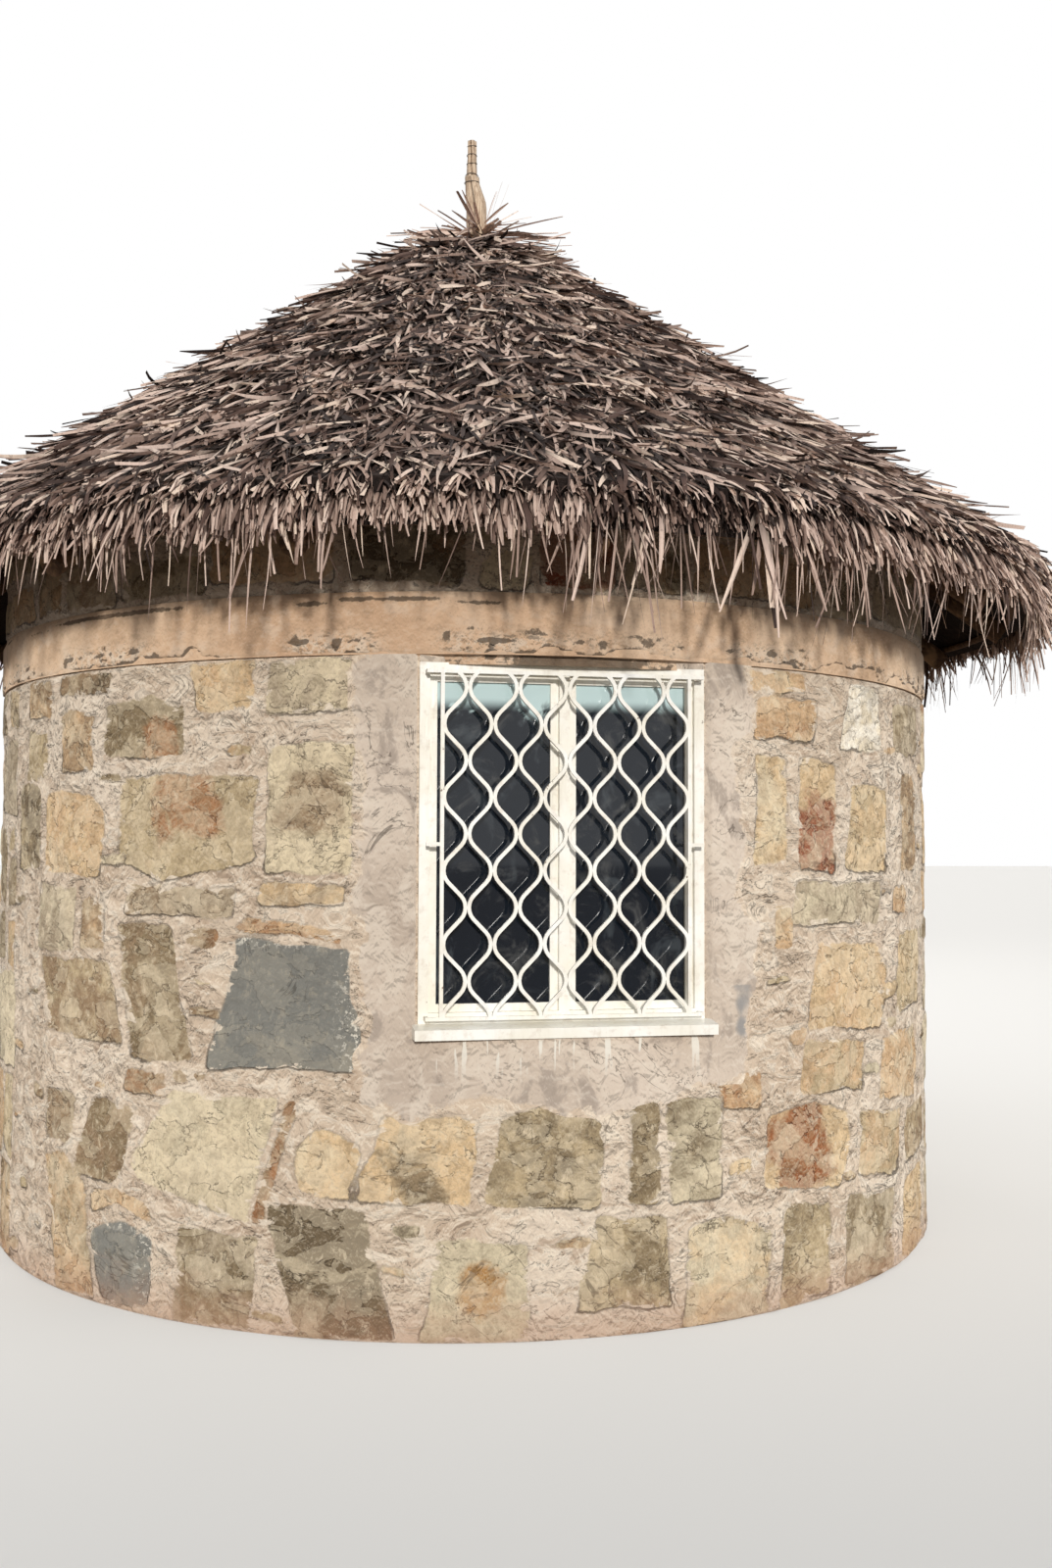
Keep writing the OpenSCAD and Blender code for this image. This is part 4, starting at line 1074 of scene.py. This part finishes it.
# The plaster's skins start out this much wider than the opening; faces beyond the ragged edge are deleted.
SPARE = 0.34
half_door = HALF_ROUND - DOOR_EDGE
window_spans = [
    (-WINDOW_EDGE - SPARE, -WINDOW_EDGE, WINDOW_LOW - SPARE, WALL_TOP),
    (-WINDOW_EDGE, WINDOW_EDGE, WINDOW_LOW - SPARE, WINDOW_LOW),
    (WINDOW_EDGE, WINDOW_EDGE + SPARE, WINDOW_LOW - SPARE, WALL_TOP),
]
door_spans = [
    (-half_door - SPARE, -half_door, 0.0, WALL_TOP),
    (half_door, half_door + SPARE, 0.0, WALL_TOP),
]
for opening, spans, middle, jamb_low in (
    ("window", window_spans, 0.0, WINDOW_LOW + 0.001), ("door", door_spans, HALF_ROUND, -1.0),
):
    patch = plaster_patch(opening + "_patch", spans, middle, jamb_low)
    patch = join_as(opening + "_patch", [patch, head_bed(opening + "_bed", opening + "_frame")])
    settle(patch, PLASTER, smooth=True)
    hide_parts(opening + "_plaster")

# %% [markdown]
# The ring beam was cast in boards and rendered in earth-coloured plaster. It stands a thumb's breadth proud,
# its face waves a little, and its lower edge is ragged where the render broke away.

# %% Ring beam render
def beam_skin():
    """Render on the ring beam, with a ragged lower edge, a broken seam near its top and worn parts with pits;
    the pits, the seam and the strip under the ragged edge carry painted shade.
    """
    obj, flat = grid_skin("beam_skin", -HALF_ROUND, HALF_ROUND, BEAM_LOW - 0.03, BEAM_TOP, RENDER_STEP)
    u, z = flat[:, 0], flat[:, 1]
    along = spots(u, 0 * u, 12)
    broken = smooth_step(value_noise(along, 0.45), -0.2, 0.5)
    edge = BEAM_LOW + 0.002 + 0.006 * value_noise(along, 0.16) + 0.004 * value_noise(along, 0.05)
    edge += 0.045 * broken * np.clip(value_noise(along, 0.08), 0, 1)
    worn = smooth_step(value_noise(spots(u, z, 14), 0.26), -0.45, 0.15)
    worn *= smooth_step(BEAM_LOW + 0.075 - z, -0.03, 0.05)
    pit = np.clip(value_noise(spots(u, z * 1.7, 13), 0.036) - 0.26, 0, 1) * 3.0 * worn
    seam = 1 - smooth_step(np.abs(z - BEAM_TOP + 0.030 + 0.012 * value_noise(along, 0.3)), 0.0, 0.008)
    seam *= smooth_step(value_noise(spots(u, 0 * u, 19), 0.35), 0.0, 0.35)
    drop = smooth_step(edge + 0.008 - z, 0, 0.014)
    # The deepest pits still lie just in front of the solid beam, which would otherwise show in them.
    proud = 0.008 + 0.003 * rough(spots(u, z, 15), 0.25) - 0.006 * np.minimum(pit, 1) - 0.005 * seam
    face = BEAM_R - WALL_R + np.maximum(proud, 0.001)
    shoulder = smooth_step(z, BEAM_TOP - 0.022, BEAM_TOP)
    out = face * (1 - drop) - 0.012 * drop - 0.014 * shoulder * (1 - drop)
    # Painted shade in the pits and the seam's groove, and a painted shadow under the ragged lower edge.
    pits_and_edge_shade = np.clip(pit + seam + 0.8 * broken * smooth_step(edge + 0.016 - z, 0, 0.014), 0, 1)
    add_numbers(obj, pit=pits_and_edge_shade, worn=worn)
    set_points(obj, wrap(np.column_stack([u, z, out])))
    return settle(obj, BEAM_RENDER, smooth=True)


beam_skin()

# %% [markdown]
# The window and its grille are welded steel under brushed white paint, yellowed a little, with small specks
# of rust and patches of pale red dust. The glass is glossy under smudges and dust; its dark colour is painted
# shade of the unlit room behind it, and a pale band along the panes' upper edge is a painted reflection of
# the sky.

# %% Paint, glass and steel
def make_white_paint(name, shade, rust_from):
    p = Paint(name, 0.38)
    drift = p.noise(5, 4)
    brushed = p.noise(70, 3, 0.6, 0.0, p.stretch(1, 1, 0.12))
    specks = p.noise(85, 5, 0.72)
    base = p.mix(p.mask(drift, 0.35, 0.65), shade, colour(240, 235, 220))
    base = p.darken(p.mask(brushed, 0.5, 0.7, 0.35), base, 0.86)
    rust = p.mask(p.times(specks, p.mask(drift, 0.46, 0.60)), rust_from, rust_from + 0.05)
    base = p.mix(rust, base, colour(126, 78, 48))
    dust = p.mask(p.noise(24, 5, 0.65), 0.50, 0.70, 0.35)
    base = p.mix(dust, base, colour(198, 180, 160))
    return p.finish(base, p.add(brushed, rust), 0.0012, p.add(p.times(dust, 0.8), 0.34))


# Heights between which the painted reflection of the sky on the panes sets in.
REFLECTION_FROM, REFLECTION_TO = 2.00, 2.05


def make_glass():
    p = Paint("dark_window_glass", 0.04)
    dust = p.mask(p.noise(7, 6, 0.7, 1.0), 0.50, 0.72)
    smudges = p.mask(p.noise(3, 4, 0.6, 2.0), 0.55, 0.66)
    # The dark colour under the dust is painted shade of the unlit room behind the glass.
    base = p.mix(p.times(dust, 0.16), colour(20, 26, 34), colour(150, 148, 142))
    base = p.mix(p.times(smudges, 0.10), base, colour(150, 160, 165))
    # A pale band along the panes' upper edge: a painted reflection of the sky.
    pale_overlay = p.mask(p.add(p.height(), p.swing(smudges, 0.04)), REFLECTION_FROM, REFLECTION_TO, 0.80)
    base = p.mix(pale_overlay, base, colour(206, 230, 230))
    return p.finish(base, None, 0.0, p.add(p.times(dust, 0.22), 0.03))


def make_steel():
    p = Paint("brushed_fittings", 0.35, 1.0)
    brushed = p.noise(140, 3, 0.6, 0.0, p.stretch(1, 1, 0.08))
    base = p.mix(p.mask(p.noise(18, 4), 0.4, 0.65), colour(150, 150, 147), colour(116, 112, 106))
    return p.finish(base, brushed, 0.0008, p.add(p.times(brushed, 0.25), 0.25))


WINDOW_PAINT = make_white_paint("window_paint", colour(250, 248, 240), 0.66)
GRILLE_PAINT = make_white_paint("grille_paint", colour(249, 248, 242), 0.60)
dress(WINDOW_PAINT, "window_sill", "window_frame", "window_sash_left", "window_sash_right")
dress(WINDOW_PAINT, "door_frame", "door_leaf")
dress(GRILLE_PAINT, "window_grille")
dress(make_glass(), "window_glass_left", "window_glass_right")
dress(make_steel(), "door_hinges", "door_handle")

# %% [markdown]
# The poles under the roof are barked and weathered. Bark is long cracks along the pole, but the poles point
# in all directions, so even noise in two sizes stands for it, with lighter bare wood where the bark is gone.

# %% Timber
def make_timber():
    p = Paint("barked_poles", 0.85)
    bark = p.noise(26, 6, 0.68, 1.0)
    bare = p.noise(6, 4, 0.6, 0.5)
    base = p.ramp(bark, (0.3, 64, 46, 34), (0.5, 104, 78, 56), (0.7, 140, 112, 84))
    base = p.mix(p.mask(bare, 0.54, 0.66), base, colour(168, 138, 104))
    return p.finish(base, bark, 0.006)


TIMBER = make_timber()
dress(TIMBER, "wall_plate", "main_rafters", "short_rafters", "battens", "finial_pole")

# %% [markdown]
# The roof is the hut's largest surface: palm leaf tiles laid over each other, of which only the
# dry leaf ends show. A few leaves are modelled and then copied tens of thousands of times, each copy
# bent, twisted and turned a little differently, and joined into a few large meshes.

# %% Thatch materials
def make_leaf():
    p = Paint("palm_leaf", 0.80)
    fibre = p.noise(9, 3, 0.6, 0.0, p.stretch(14, 14, 3))
    base = p.ramp(
        p.attribute("tone"), (0.0, 28, 17, 14), (0.25, 84, 62, 53), (0.5, 168, 142, 128),
        (0.75, 218, 193, 178), (0.9, 229, 206, 190), (1.0, 234, 212, 192),
    )
    # Painted shade at each leaf's root, where it goes under the leaves above.
    base = p.mix(p.mask(p.attribute("along"), 0.60, 0.0, 0.92), base, colour(34, 21, 17))
    base = p.darken(p.mask(fibre, 0.48, 0.70, 0.6), base, 0.68)
    base = p.mix(p.mask(p.noise(60, 3), 0.60, 0.72, 0.45), base, colour(78, 62, 54))
    return p.finish(base, fibre, 0.002)


def make_thatch_body_shade():
    # The body of the thatch, far darker than the leaves: painted shade in the gaps between them.
    p = Paint("thatch_body_painted_shade", 0.95)
    strands = p.noise(20, 5, 0.7, 1.2)
    return p.finish(p.ramp(strands, (0.3, 24, 16, 13), (0.6, 48, 35, 29), (0.8, 80, 61, 50)), strands, 0.03)


LEAF = make_leaf()
THATCH_BODY_SHADE = make_thatch_body_shade()
courses = ["thatch_course_%d" % i for i in range(1, 7)]
dress(THATCH_BODY_SHADE, *courses, "thatch_cap", "eave_fringe")

# %% [markdown]
# A leaf blade starts as a narrow grid. Its rows are pulled in towards the tip, and the folded
# kinds are creased along their middle. Only the finished blade's points and faces are kept for the copying.

# %% Model the leaves that are copied
LEAF_ROWS = 4


def blade(tip_width, fold=0.0):
    """One leaf blade a unit long from root to tip: a grid, tapered and folded along its middle."""
    select_none()
    columns = 2 if fold else 1
    bpy.ops.mesh.primitive_grid_add(
        x_subdivisions=columns, y_subdivisions=LEAF_ROWS, size=1, location=(0, 0.5, 0),
    )
    obj = bpy.context.object
    apply_place(obj)
    points = points_of(obj)
    y = points[:, 1]
    taper = 1 - (1 - tip_width) * np.clip((y - 0.5) / 0.5, 0, 1) ** 2
    points[:, 2] = -fold * np.abs(points[:, 0])
    points[:, 0] *= taper * (0.75 + 0.25 * np.clip(y / 0.3, 0, 1))
    faces = [tuple(face.vertices) for face in obj.data.polygons]
    bpy.data.objects.remove(obj)
    return points, faces


BLADES = [blade(0.55), blade(0.12), blade(0.85), blade(0.30)]
FOLDED = [blade(0.35, 0.45), blade(0.75, 0.35)]

# %% [markdown]
# Each copy is worked out in a frame of its own: its length runs down the slope, turned a little to one side;
# its face looks out of the roof, rolled a little; and it bends down towards its tip under its own weight.
# The far ends are held in, so that the dressed roof is no wider than the model's.

# %% Copying leaves
REACH = EAVE_R + 0.075
HOLD_FROM = EAVE_R + 0.010


def unit(v):
    return v / np.linalg.norm(v, axis=1, keepdims=True)


def directions(angle):
    """Outward, sideways and upward directions at each angle round the hut."""
    level = np.zeros(len(angle))
    out = np.column_stack([np.cos(angle), np.sin(angle), level])
    side = np.column_stack([-np.sin(angle), np.cos(angle), level])
    return out, side, np.array([0, 0, 1.0])


def turned(angle, start, towards):
    """A direction turned by an angle for each leaf, towards another one at right angles to it."""
    return np.cos(angle)[:, None] * start + np.sin(angle)[:, None] * towards


def held_in(points):
    """Squeezes what reaches beyond one radius in under another, and lets it hang lower for that."""
    radius = np.hypot(points[:, 0], points[:, 1])
    room = REACH - HOLD_FROM
    squeezed = HOLD_FROM + room * (1 - np.exp(-(radius - HOLD_FROM) / room))
    held = np.where(radius > HOLD_FROM, squeezed, radius)
    points[:, :2] *= (held / radius)[:, None]
    points[:, 2] -= 0.8 * (radius - held)
    return points


def leaf_mesh(name, blades, root, along, face, length, width, twist, droop, sweep, tone, draw, shade=1.0):
    """Joins one copy of a blade for each root into a mesh. Arrays hold one row for each leaf."""
    kind = draw.integers(0, len(blades), len(root))
    y_axis = unit(along)
    x_axis = unit(np.cross(y_axis, face))
    z_axis = np.cross(x_axis, y_axis)
    all_points, all_faces, all_tones, all_root_shade = [], [], [], []
    start = 0
    for number, (shape, faces) in enumerate(blades):
        pick = np.flatnonzero(kind == number)
        x, y, z = shape.T
        wide, long = width[pick, None], length[pick, None]
        turn = twist[pick, None] * y
        side = wide * (x * np.cos(turn) - z * np.sin(turn)) + sweep[pick, None] * long * y**2
        up = wide * (x * np.sin(turn) + z * np.cos(turn)) - droop[pick, None] * long * y**2
        points = root[pick, None] + side[..., None] * x_axis[pick, None]
        points = points + (long * y)[..., None] * y_axis[pick, None] + up[..., None] * z_axis[pick, None]
        corners = np.array(faces)
        index = corners[None] + (np.arange(len(pick)) * len(shape))[:, None, None] + start
        all_points.append(points.reshape(-1, 3))
        all_faces.append(index.reshape(-1, 4))
        all_tones.append(np.repeat(tone[pick], len(shape)))
        # Shares along each blade, darkened towards the root by shade, for painted shade under the leaves
        # above.
        all_root_shade.append(np.tile(1 - shade * (1 - y), len(pick)))
        start += len(pick) * len(shape)
    points, quads = held_in(np.concatenate(all_points)), np.concatenate(all_faces)
    mesh = bpy.data.meshes.new(name)
    mesh.vertices.add(len(points))
    mesh.vertices.foreach_set("co", points.astype(np.float32).ravel())
    mesh.loops.add(quads.size)
    mesh.loops.foreach_set("vertex_index", quads.astype(np.int32).ravel())
    mesh.polygons.add(len(quads))
    mesh.polygons.foreach_set("loop_start", np.arange(0, quads.size, 4, dtype=np.int32))
    mesh.update(calc_edges=True)
    obj = bpy.data.objects.new(name, mesh)
    bpy.context.scene.collection.objects.link(obj)
    add_numbers(obj, tone=np.concatenate(all_tones), along=np.concatenate(all_root_shade))
    return settle(obj, LEAF)


# %% Scatter leaves on the roof
MOUTH_R = 0.107
LEAVES_PER_SQM = 1900
FIELDS = 5


def roof_line(radius):
    """Height of the roof's surface and its pitch at a radius: a cone with a rounded top."""
    share = np.clip((CAP_R - radius) / (CAP_R - MOUTH_R), 0, 1)
    cone = EAVE_Z + (EAVE_R - np.maximum(radius, CAP_R)) * math.tan(ROOF_PITCH)
    rise = MOUTH_Z - EAVE_Z - (EAVE_R - CAP_R) * math.tan(ROOF_PITCH)
    steep = rise * math.pi / 2 * np.cos(math.pi / 2 * share) / (CAP_R - MOUTH_R)
    return cone + rise * np.sin(math.pi / 2 * share), np.where(share > 0, np.arctan(steep), ROOF_PITCH)


def roof_frame(angle, up_slope, lift):
    """Place, down-slope direction and outward direction at an angle and a distance up the slope."""
    out, _, up = directions(angle)
    radius = EAVE_R - up_slope * math.cos(ROOF_PITCH)
    height, tilt = roof_line(radius)
    normal = turned(tilt, up, out)
    place = radius[:, None] * out + height[:, None] * up + lift[:, None] * normal
    return place, turned(-tilt, out, up), normal


def roof_leaves(name, s_low, s_high, seed):
    """Leaves on one ring of the roof, between two distances up the slope."""
    draw = np.random.default_rng(seed)
    area = math.pi * math.cos(ROOF_PITCH) * ((SLOPE - s_low) ** 2 - (SLOPE - s_high) ** 2)
    count = int(area * LEAVES_PER_SQM)
    # More leaves go where the cone is wider, so that they lie equally thick all over.
    far, near = (SLOPE - s_low) ** 2, (SLOPE - s_high) ** 2
    s = SLOPE - np.sqrt(far + draw.random(count) * (near - far))
    angle, lift = draw.uniform(0, 2 * math.pi, count), draw.uniform(-0.042, 0.008, count)
    place, down, normal = roof_frame(angle, s, lift)
    side = np.cross(normal, down)
    yaw, rise, roll = draw.normal(0, 0.44, count), draw.normal(0.13, 0.08, count), draw.normal(0, 0.55, count)
    along = turned(rise, turned(yaw, down, side), normal)
    face = turned(roll, normal, side)
    length = np.minimum(draw.uniform(0.13, 0.29, count), s + 0.07)
    tone = 0.50 + 0.12 * value_noise(place, 0.45) + draw.normal(0, 0.36, count)
    return leaf_mesh(
        name, BLADES, place, along, face, length, width=draw.uniform(0.008, 0.018, count),
        twist=draw.normal(0, 1.2, count), droop=draw.normal(0.10, 0.07, count),
        sweep=draw.normal(0, 0.16, count), tone=np.clip(tone, 0.04, 0.98), draw=draw,
    )


# The fields are chosen so that each holds about the same number of leaves.
TOP_GAP = 0.14
shares = np.linspace(1, (TOP_GAP / SLOPE) ** 2, FIELDS + 1)
field_edges = SLOPE - SLOPE * np.sqrt(shares)
field_edges[0] = 0.03
for k in range(FIELDS):
    roof_leaves("roof_leaves_%d" % (k + 1), field_edges[k], field_edges[k + 1], 100 + k)

# %% [markdown]
# The eave's fringe is the lowest leaves' ends, which leave the thatch at a steep angle and hang. The dense
# part is short, and a few long bleached strands hang below it. The model's solid fringe makes way for them.

# %% Hang the eave's fringe
LIP = (EAVE_R - 0.03, EAVE_Z - 0.01)
UNDER = (EAVE_R - 0.070, EAVE_Z - 0.075)
THIN_AT, THIN_HALF = 276.0, 7.0
SHORT_LEAF = 0.2


def thinned(angle):
    """1 in the stretch of the eave where the leaves' ends have fallen, and 0 beyond it."""
    return smooth_step(np.abs(np.degrees(angle) % 360 - THIN_AT), THIN_HALF + 2, THIN_HALF - 2)


def fringe_leaves(name, count, seed, steep, length, width, blades, tone_mean, clumps=0.0, arc=(0, 360)):
    draw = np.random.default_rng(seed)
    angle = np.radians(draw.uniform(*arc, count))
    if clumps:
        angle += clumps * value_noise(spots(angle, 0 * angle, seed), 0.16)
    out, side, up = directions(angle)
    depth = draw.random(count)
    radius, height = (lip + (under - lip) * depth for lip, under in zip(LIP, UNDER))
    root = radius[:, None] * out + height[:, None] * up
    lean = np.radians(draw.normal(steep, 8, count))
    along = turned(-lean, out, up) + draw.normal(0, 0.15, count)[:, None] * side
    face = turned(lean, up, out) + draw.normal(0, 0.5, count)[:, None] * side
    hang = 1 + 0.35 * value_noise(spots(angle * EAVE_R, 0 * angle, 31), 0.35)
    tone_mean = tone_mean + np.zeros(count)
    if length[1] < SHORT_LEAF:
        hang *= 0.90 - 0.45 * thinned(angle)
        # Where the ends have fallen, the short leaves are darker: painted shade under the eave.
        tone_mean -= 0.26 * thinned(angle)
    return leaf_mesh(
        name, blades, root, along, face, length=draw.uniform(*length, count) * hang,
        width=draw.uniform(*width, count), twist=draw.normal(0, 0.8, count),
        droop=draw.normal(0.08, 0.06, count), sweep=draw.normal(0, 0.07, count),
        tone=np.clip(tone_mean + draw.normal(0, 0.21, count), 0.05, 1.0), draw=draw,
    )


# Each row is: name, number of leaves, seed, degrees below level, length, width, blades and tone; for strands
# also how much they gather in clumps, and for the last ones the arc that they hang in, in degrees.
# The inner rows' lower tones are painted shade under the eave.
fringe = [fringe_leaves("fringe_" + name, *values) for name, *values in (
    ("outer", 4200, 201, 60, (0.08, 0.17), (0.008, 0.016), FOLDED, 0.56),
    ("middle", 3000, 202, 71, (0.06, 0.13), (0.008, 0.016), FOLDED, 0.50),
    ("inner", 1900, 203, 80, (0.04, 0.10), (0.008, 0.015), BLADES, 0.36),
    ("strands", 1050, 204, 84, (0.12, 0.34), (0.003, 0.008), BLADES, 0.62, 0.07),
    ("wide_strands", 180, 205, 81, (0.14, 0.28), (0.008, 0.016), FOLDED, 0.62, 0.12),
    ("front_strands", 13, 206, 80, (0.22, 0.34), (0.013, 0.021), FOLDED, 0.72, 0.0, (-93, -76)),
)]
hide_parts("eave_fringe")

# %% [markdown]
# The finial pole is wrapped in a dry leaf sheath, tied with string. The sheath is a tube cut into rings,
# whose radius then follows a profile; a groove gives its seam, darkened as painted shade. Stiff leaf strips
# stand round its foot.

# %% Finial sheath
SHEATH_RINGS = 14
SHEATH_PROFILE = [
    (0, 0.050), (0.49, 0.047), (0.70, 0.0465), (0.76, 0.044),
    (0.83, 0.039), (0.90, 0.034), (0.94, 0.0315), (1, 0.033),
]
WRAP_PROFILE = [(0, 0.029), (0.12, 0.0235), (0.35, 0.0225), (0.6, 0.0205), (1, 0.0190)]
SEAM_AT, SEAM_HALF = -1.75, 0.11


def make_sheath_material():
    p = Paint("dry_leaf_sheath", 0.75)
    veins = p.noise(30, 5, 0.65, 0.2, p.stretch(5, 5, 0.5))
    blotch = p.noise(16, 4)
    base = p.ramp(veins, (0.34, 142, 116, 94), (0.5, 198, 173, 146), (0.66, 224, 204, 178))
    base = p.darken(p.mask(blotch, 0.52, 0.70), base, 0.76)
    # The seam's groove is darkened as painted shade.
    base = p.darken(p.mask(p.attribute("seam"), 0.25, 0.85), base, 0.30)
    return p.finish(base, veins, 0.003)


SHEATH = make_sheath_material()


def wrapped_tube(name, low, high, profile, shift):
    """A tube round the pole whose radius follows a profile, with a seam on the side that faces the camera."""
    select_none()
    middle = (0, 0, (low + high) / 2)
    bpy.ops.mesh.primitive_cylinder_add(vertices=36, radius=1, depth=high - low, location=middle)
    obj = bpy.context.object
    obj.name = name
    apply_place(obj)
    edit(obj)
    for z in np.linspace(low, high, SHEATH_RINGS + 1)[1:-1]:
        bpy.ops.mesh.select_all(action="SELECT")
        bpy.ops.mesh.bisect(plane_co=(0, 0, z), plane_no=(0, 0, 1))
    leave_edit()
    points = points_of(obj)
    share = (points[:, 2] - low) / (high - low)
    angle = np.arctan2(points[:, 1], points[:, 0])
    radius = np.interp(share, *zip(*profile))
    seam = np.exp(-(((angle - SEAM_AT + 0.25 * share) / SEAM_HALF) ** 2))
    folds = 0.0018 * np.sin(angle * 5 + 3 * share) + 0.0016 * value_noise(points * [1, 1, 0.6], 0.02)
    radius = radius + folds - 0.006 * seam
    x = radius * np.cos(angle) + shift * smooth_step(share, 1.0, 0.60)
    set_points(obj, np.column_stack([x, radius * np.sin(angle), points[:, 2]]))
    add_numbers(obj, seam=seam)
    return obj


sheath = wrapped_tube("leaf_sheath", MOUTH_Z - 0.02, SHEATH_TOP, SHEATH_PROFILE, 0.022)
settle(sheath, SHEATH, smooth=True)
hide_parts("finial_sheath")
top_wrap = wrapped_tube("pole_wrap", SHEATH_TOP - 0.01, POLE_TOP - 0.002, WRAP_PROFILE, 0.0)
settle(top_wrap, SHEATH, smooth=True)

# %% String ties
def make_string():
    p = Paint("tie_string", 0.8)
    twist = p.noise(300, 2)
    return p.finish(p.ramp(twist, (0.4, 70, 62, 56), (0.6, 112, 100, 88)), twist, 0.001)


# Each tie is: height over the sheath as a share of the pole above it, radius, and lean in degrees.
TIES = [(-0.14, 0.034, 6), (0.04, 0.029, -8), (0.38, 0.0235, 11), (0.60, 0.0222, -4), (0.86, 0.0210, 13)]
STRING_HALF = 0.0019


def ties():
    made = []
    rise = POLE_TOP - SHEATH_TOP
    for share, radius, lean in TIES:
        select_none()
        bpy.ops.mesh.primitive_torus_add(
            major_radius=radius, minor_radius=STRING_HALF, major_segments=28, minor_segments=6,
            location=(0, 0, SHEATH_TOP + share * rise),
            rotation=(math.radians(lean), math.radians(-lean / 2), 0),
        )
        made.append(bpy.context.object)
        apply_place(made[-1])
    return settle(join_as("string_ties", made), make_string(), smooth=True)


ties()

# %% Leaf strips round the sheath's foot
CROWN_SHIFT = 0.03
# Strips on the camera's side rise less, by up to this angle in radians.
FRONT_DROOP = 0.32


def crown_strips(name, count, seed, rise, length, width, low, tone_mean, heading=(0, 360)):
    draw = np.random.default_rng(seed)
    angle = np.radians(draw.uniform(*heading, count))
    out, side, up = directions(angle)
    root = draw.uniform(0.02, 0.07, count)[:, None] * out
    root = root + draw.uniform(low - 0.02, low + 0.03, count)[:, None] * up
    root[:, 0] += CROWN_SHIFT
    to_front = np.clip(np.cos(angle + math.pi / 2 - CAMERA_ROUND), 0, 1)
    lift = np.radians(draw.normal(*rise, count)) - FRONT_DROOP * to_front
    along = turned(lift, out, up) + draw.normal(0, 0.22, count)[:, None] * side
    face = turned(-lift, up, out) + draw.normal(0, 0.4, count)[:, None] * side
    return leaf_mesh(
        name, FOLDED, root, along, face, draw.uniform(*length, count), draw.uniform(*width, count),
        twist=draw.normal(0, 0.6, count), droop=draw.normal(0.08, 0.08, count),
        sweep=draw.normal(0, 0.06, count), tone=np.clip(tone_mean + draw.normal(0, 0.14, count), 0, 1),
        draw=draw, shade=0.45,
    )


# Each row is: name, number of strips, seed, mean and spread of the rise in degrees, length, width, height of
# the roots, tone and, for the straws, the arc that they stand in, in degrees.
for name, *values in (
    ("flat_strips", 240, 301, (-9, 7), (0.26, 0.46), (0.012, 0.024), MOUTH_Z + 0.02, 0.62),
    ("rosette", 60, 303, (2, 8), (0.18, 0.40), (0.013, 0.025), MOUTH_Z + 0.10, 0.74),
    ("spikes", 12, 302, (34, 8), (0.14, 0.24), (0.010, 0.018), MOUTH_Z + 0.13, 0.70),
    ("straws", 4, 307, (64, 9), (0.24, 0.40), (0.003, 0.005), MOUTH_Z + 0.12, 0.70, (-60, 40)),
):
    crown_strips("crown_" + name, *values)

# %% [markdown]
# The stage is a plain pale floor under soft light. What the camera, mirrors and glass see of the world is
# white; what lights the hut is a dim, slightly blue sky, one far lamp in front and two large soft ones.

# %% Floor and background
bpy.ops.mesh.primitive_plane_add(size=240, location=(0, 0, -0.001))
floor = bpy.context.object
floor.name = "floor"
floor_paint = Paint("pale_floor", 0.9)
seen = floor_paint.node("ShaderNodeLightPath").outputs["Is Camera Ray"]
floor_colour = floor_paint.mix(seen, colour(128, 112, 100), colour(222, 220, 216))
floor.data.materials.append(floor_paint.finish(floor_colour))

world = bpy.data.worlds.new("studio")
bpy.context.scene.world = world
world.use_nodes = True
sky = world.node_tree.nodes["Background"]
sky.inputs["Color"].default_value = (0.90, 0.94, 1.0, 1)
sky.inputs["Strength"].default_value = 0.50


def show_white(world, lighting):
    """Mixes white in where a camera, glossy or transmission ray sees the world."""
    tree = world.node_tree
    white = tree.nodes.new("ShaderNodeBackground")
    white.inputs["Color"].default_value = (1, 1, 1, 1)
    path = tree.nodes.new("ShaderNodeLightPath")
    seen = path.outputs["Is Camera Ray"]
    for name in ("Is Glossy Ray", "Is Transmission Ray"):
        either = tree.nodes.new("ShaderNodeMath")
        either.operation = "MAXIMUM"
        tree.links.new(seen, either.inputs[0])
        tree.links.new(path.outputs[name], either.inputs[1])
        seen = either.outputs["Value"]
    mix = tree.nodes.new("ShaderNodeMixShader")
    tree.links.new(seen, mix.inputs["Fac"])
    tree.links.new(lighting.outputs["Background"], mix.inputs[1])
    tree.links.new(white.outputs["Background"], mix.inputs[2])
    tree.links.new(mix.outputs["Shader"], tree.nodes["World Output"].inputs["Surface"])


show_white(world, sky)

# %% Lamps
def aimed(name, data, place, aim):
    lamp = bpy.data.objects.new(name, data)
    lamp.location = place
    lamp.rotation_euler = (Vector(aim) - Vector(place)).to_track_quat("-Z", "Y").to_euler()
    bpy.context.scene.collection.objects.link(lamp)


def far_lamp(name, place, aim, spread, strength, tint):
    """A lamp so far away that it lights the whole floor alike; spread softens its shadows, in degrees."""
    data = bpy.data.lights.new(name, "SUN")
    data.angle, data.energy, data.color = math.radians(spread), strength, tint
    aimed(name, data, place, aim)


def near_lamp(name, place, aim, size, watts, tint):
    data = bpy.data.lights.new(name, "AREA")
    data.size, data.energy, data.color = size, watts, tint
    aimed(name, data, place, aim)


far_lamp("key", (-1.9, -14.6, 5.7), (0, 0, 2.2), spread=4.0, strength=2.50, tint=(1.0, 0.97, 0.93))
near_lamp("fill", (9.0, -5.0, 5.0), (0, 0, 2.0), size=6.0, watts=160, tint=(0.92, 0.96, 1.0))
near_lamp("back_fill", (-4.0, 12.0, 6.0), (0, 0, 2.0), size=6.0, watts=500, tint=(1.0, 0.98, 0.95))
bpy.context.scene.view_settings.view_transform = "Standard"

# %% Count the triangles and finish
print("added %d triangles in all" % sum(made_triangles.values()))
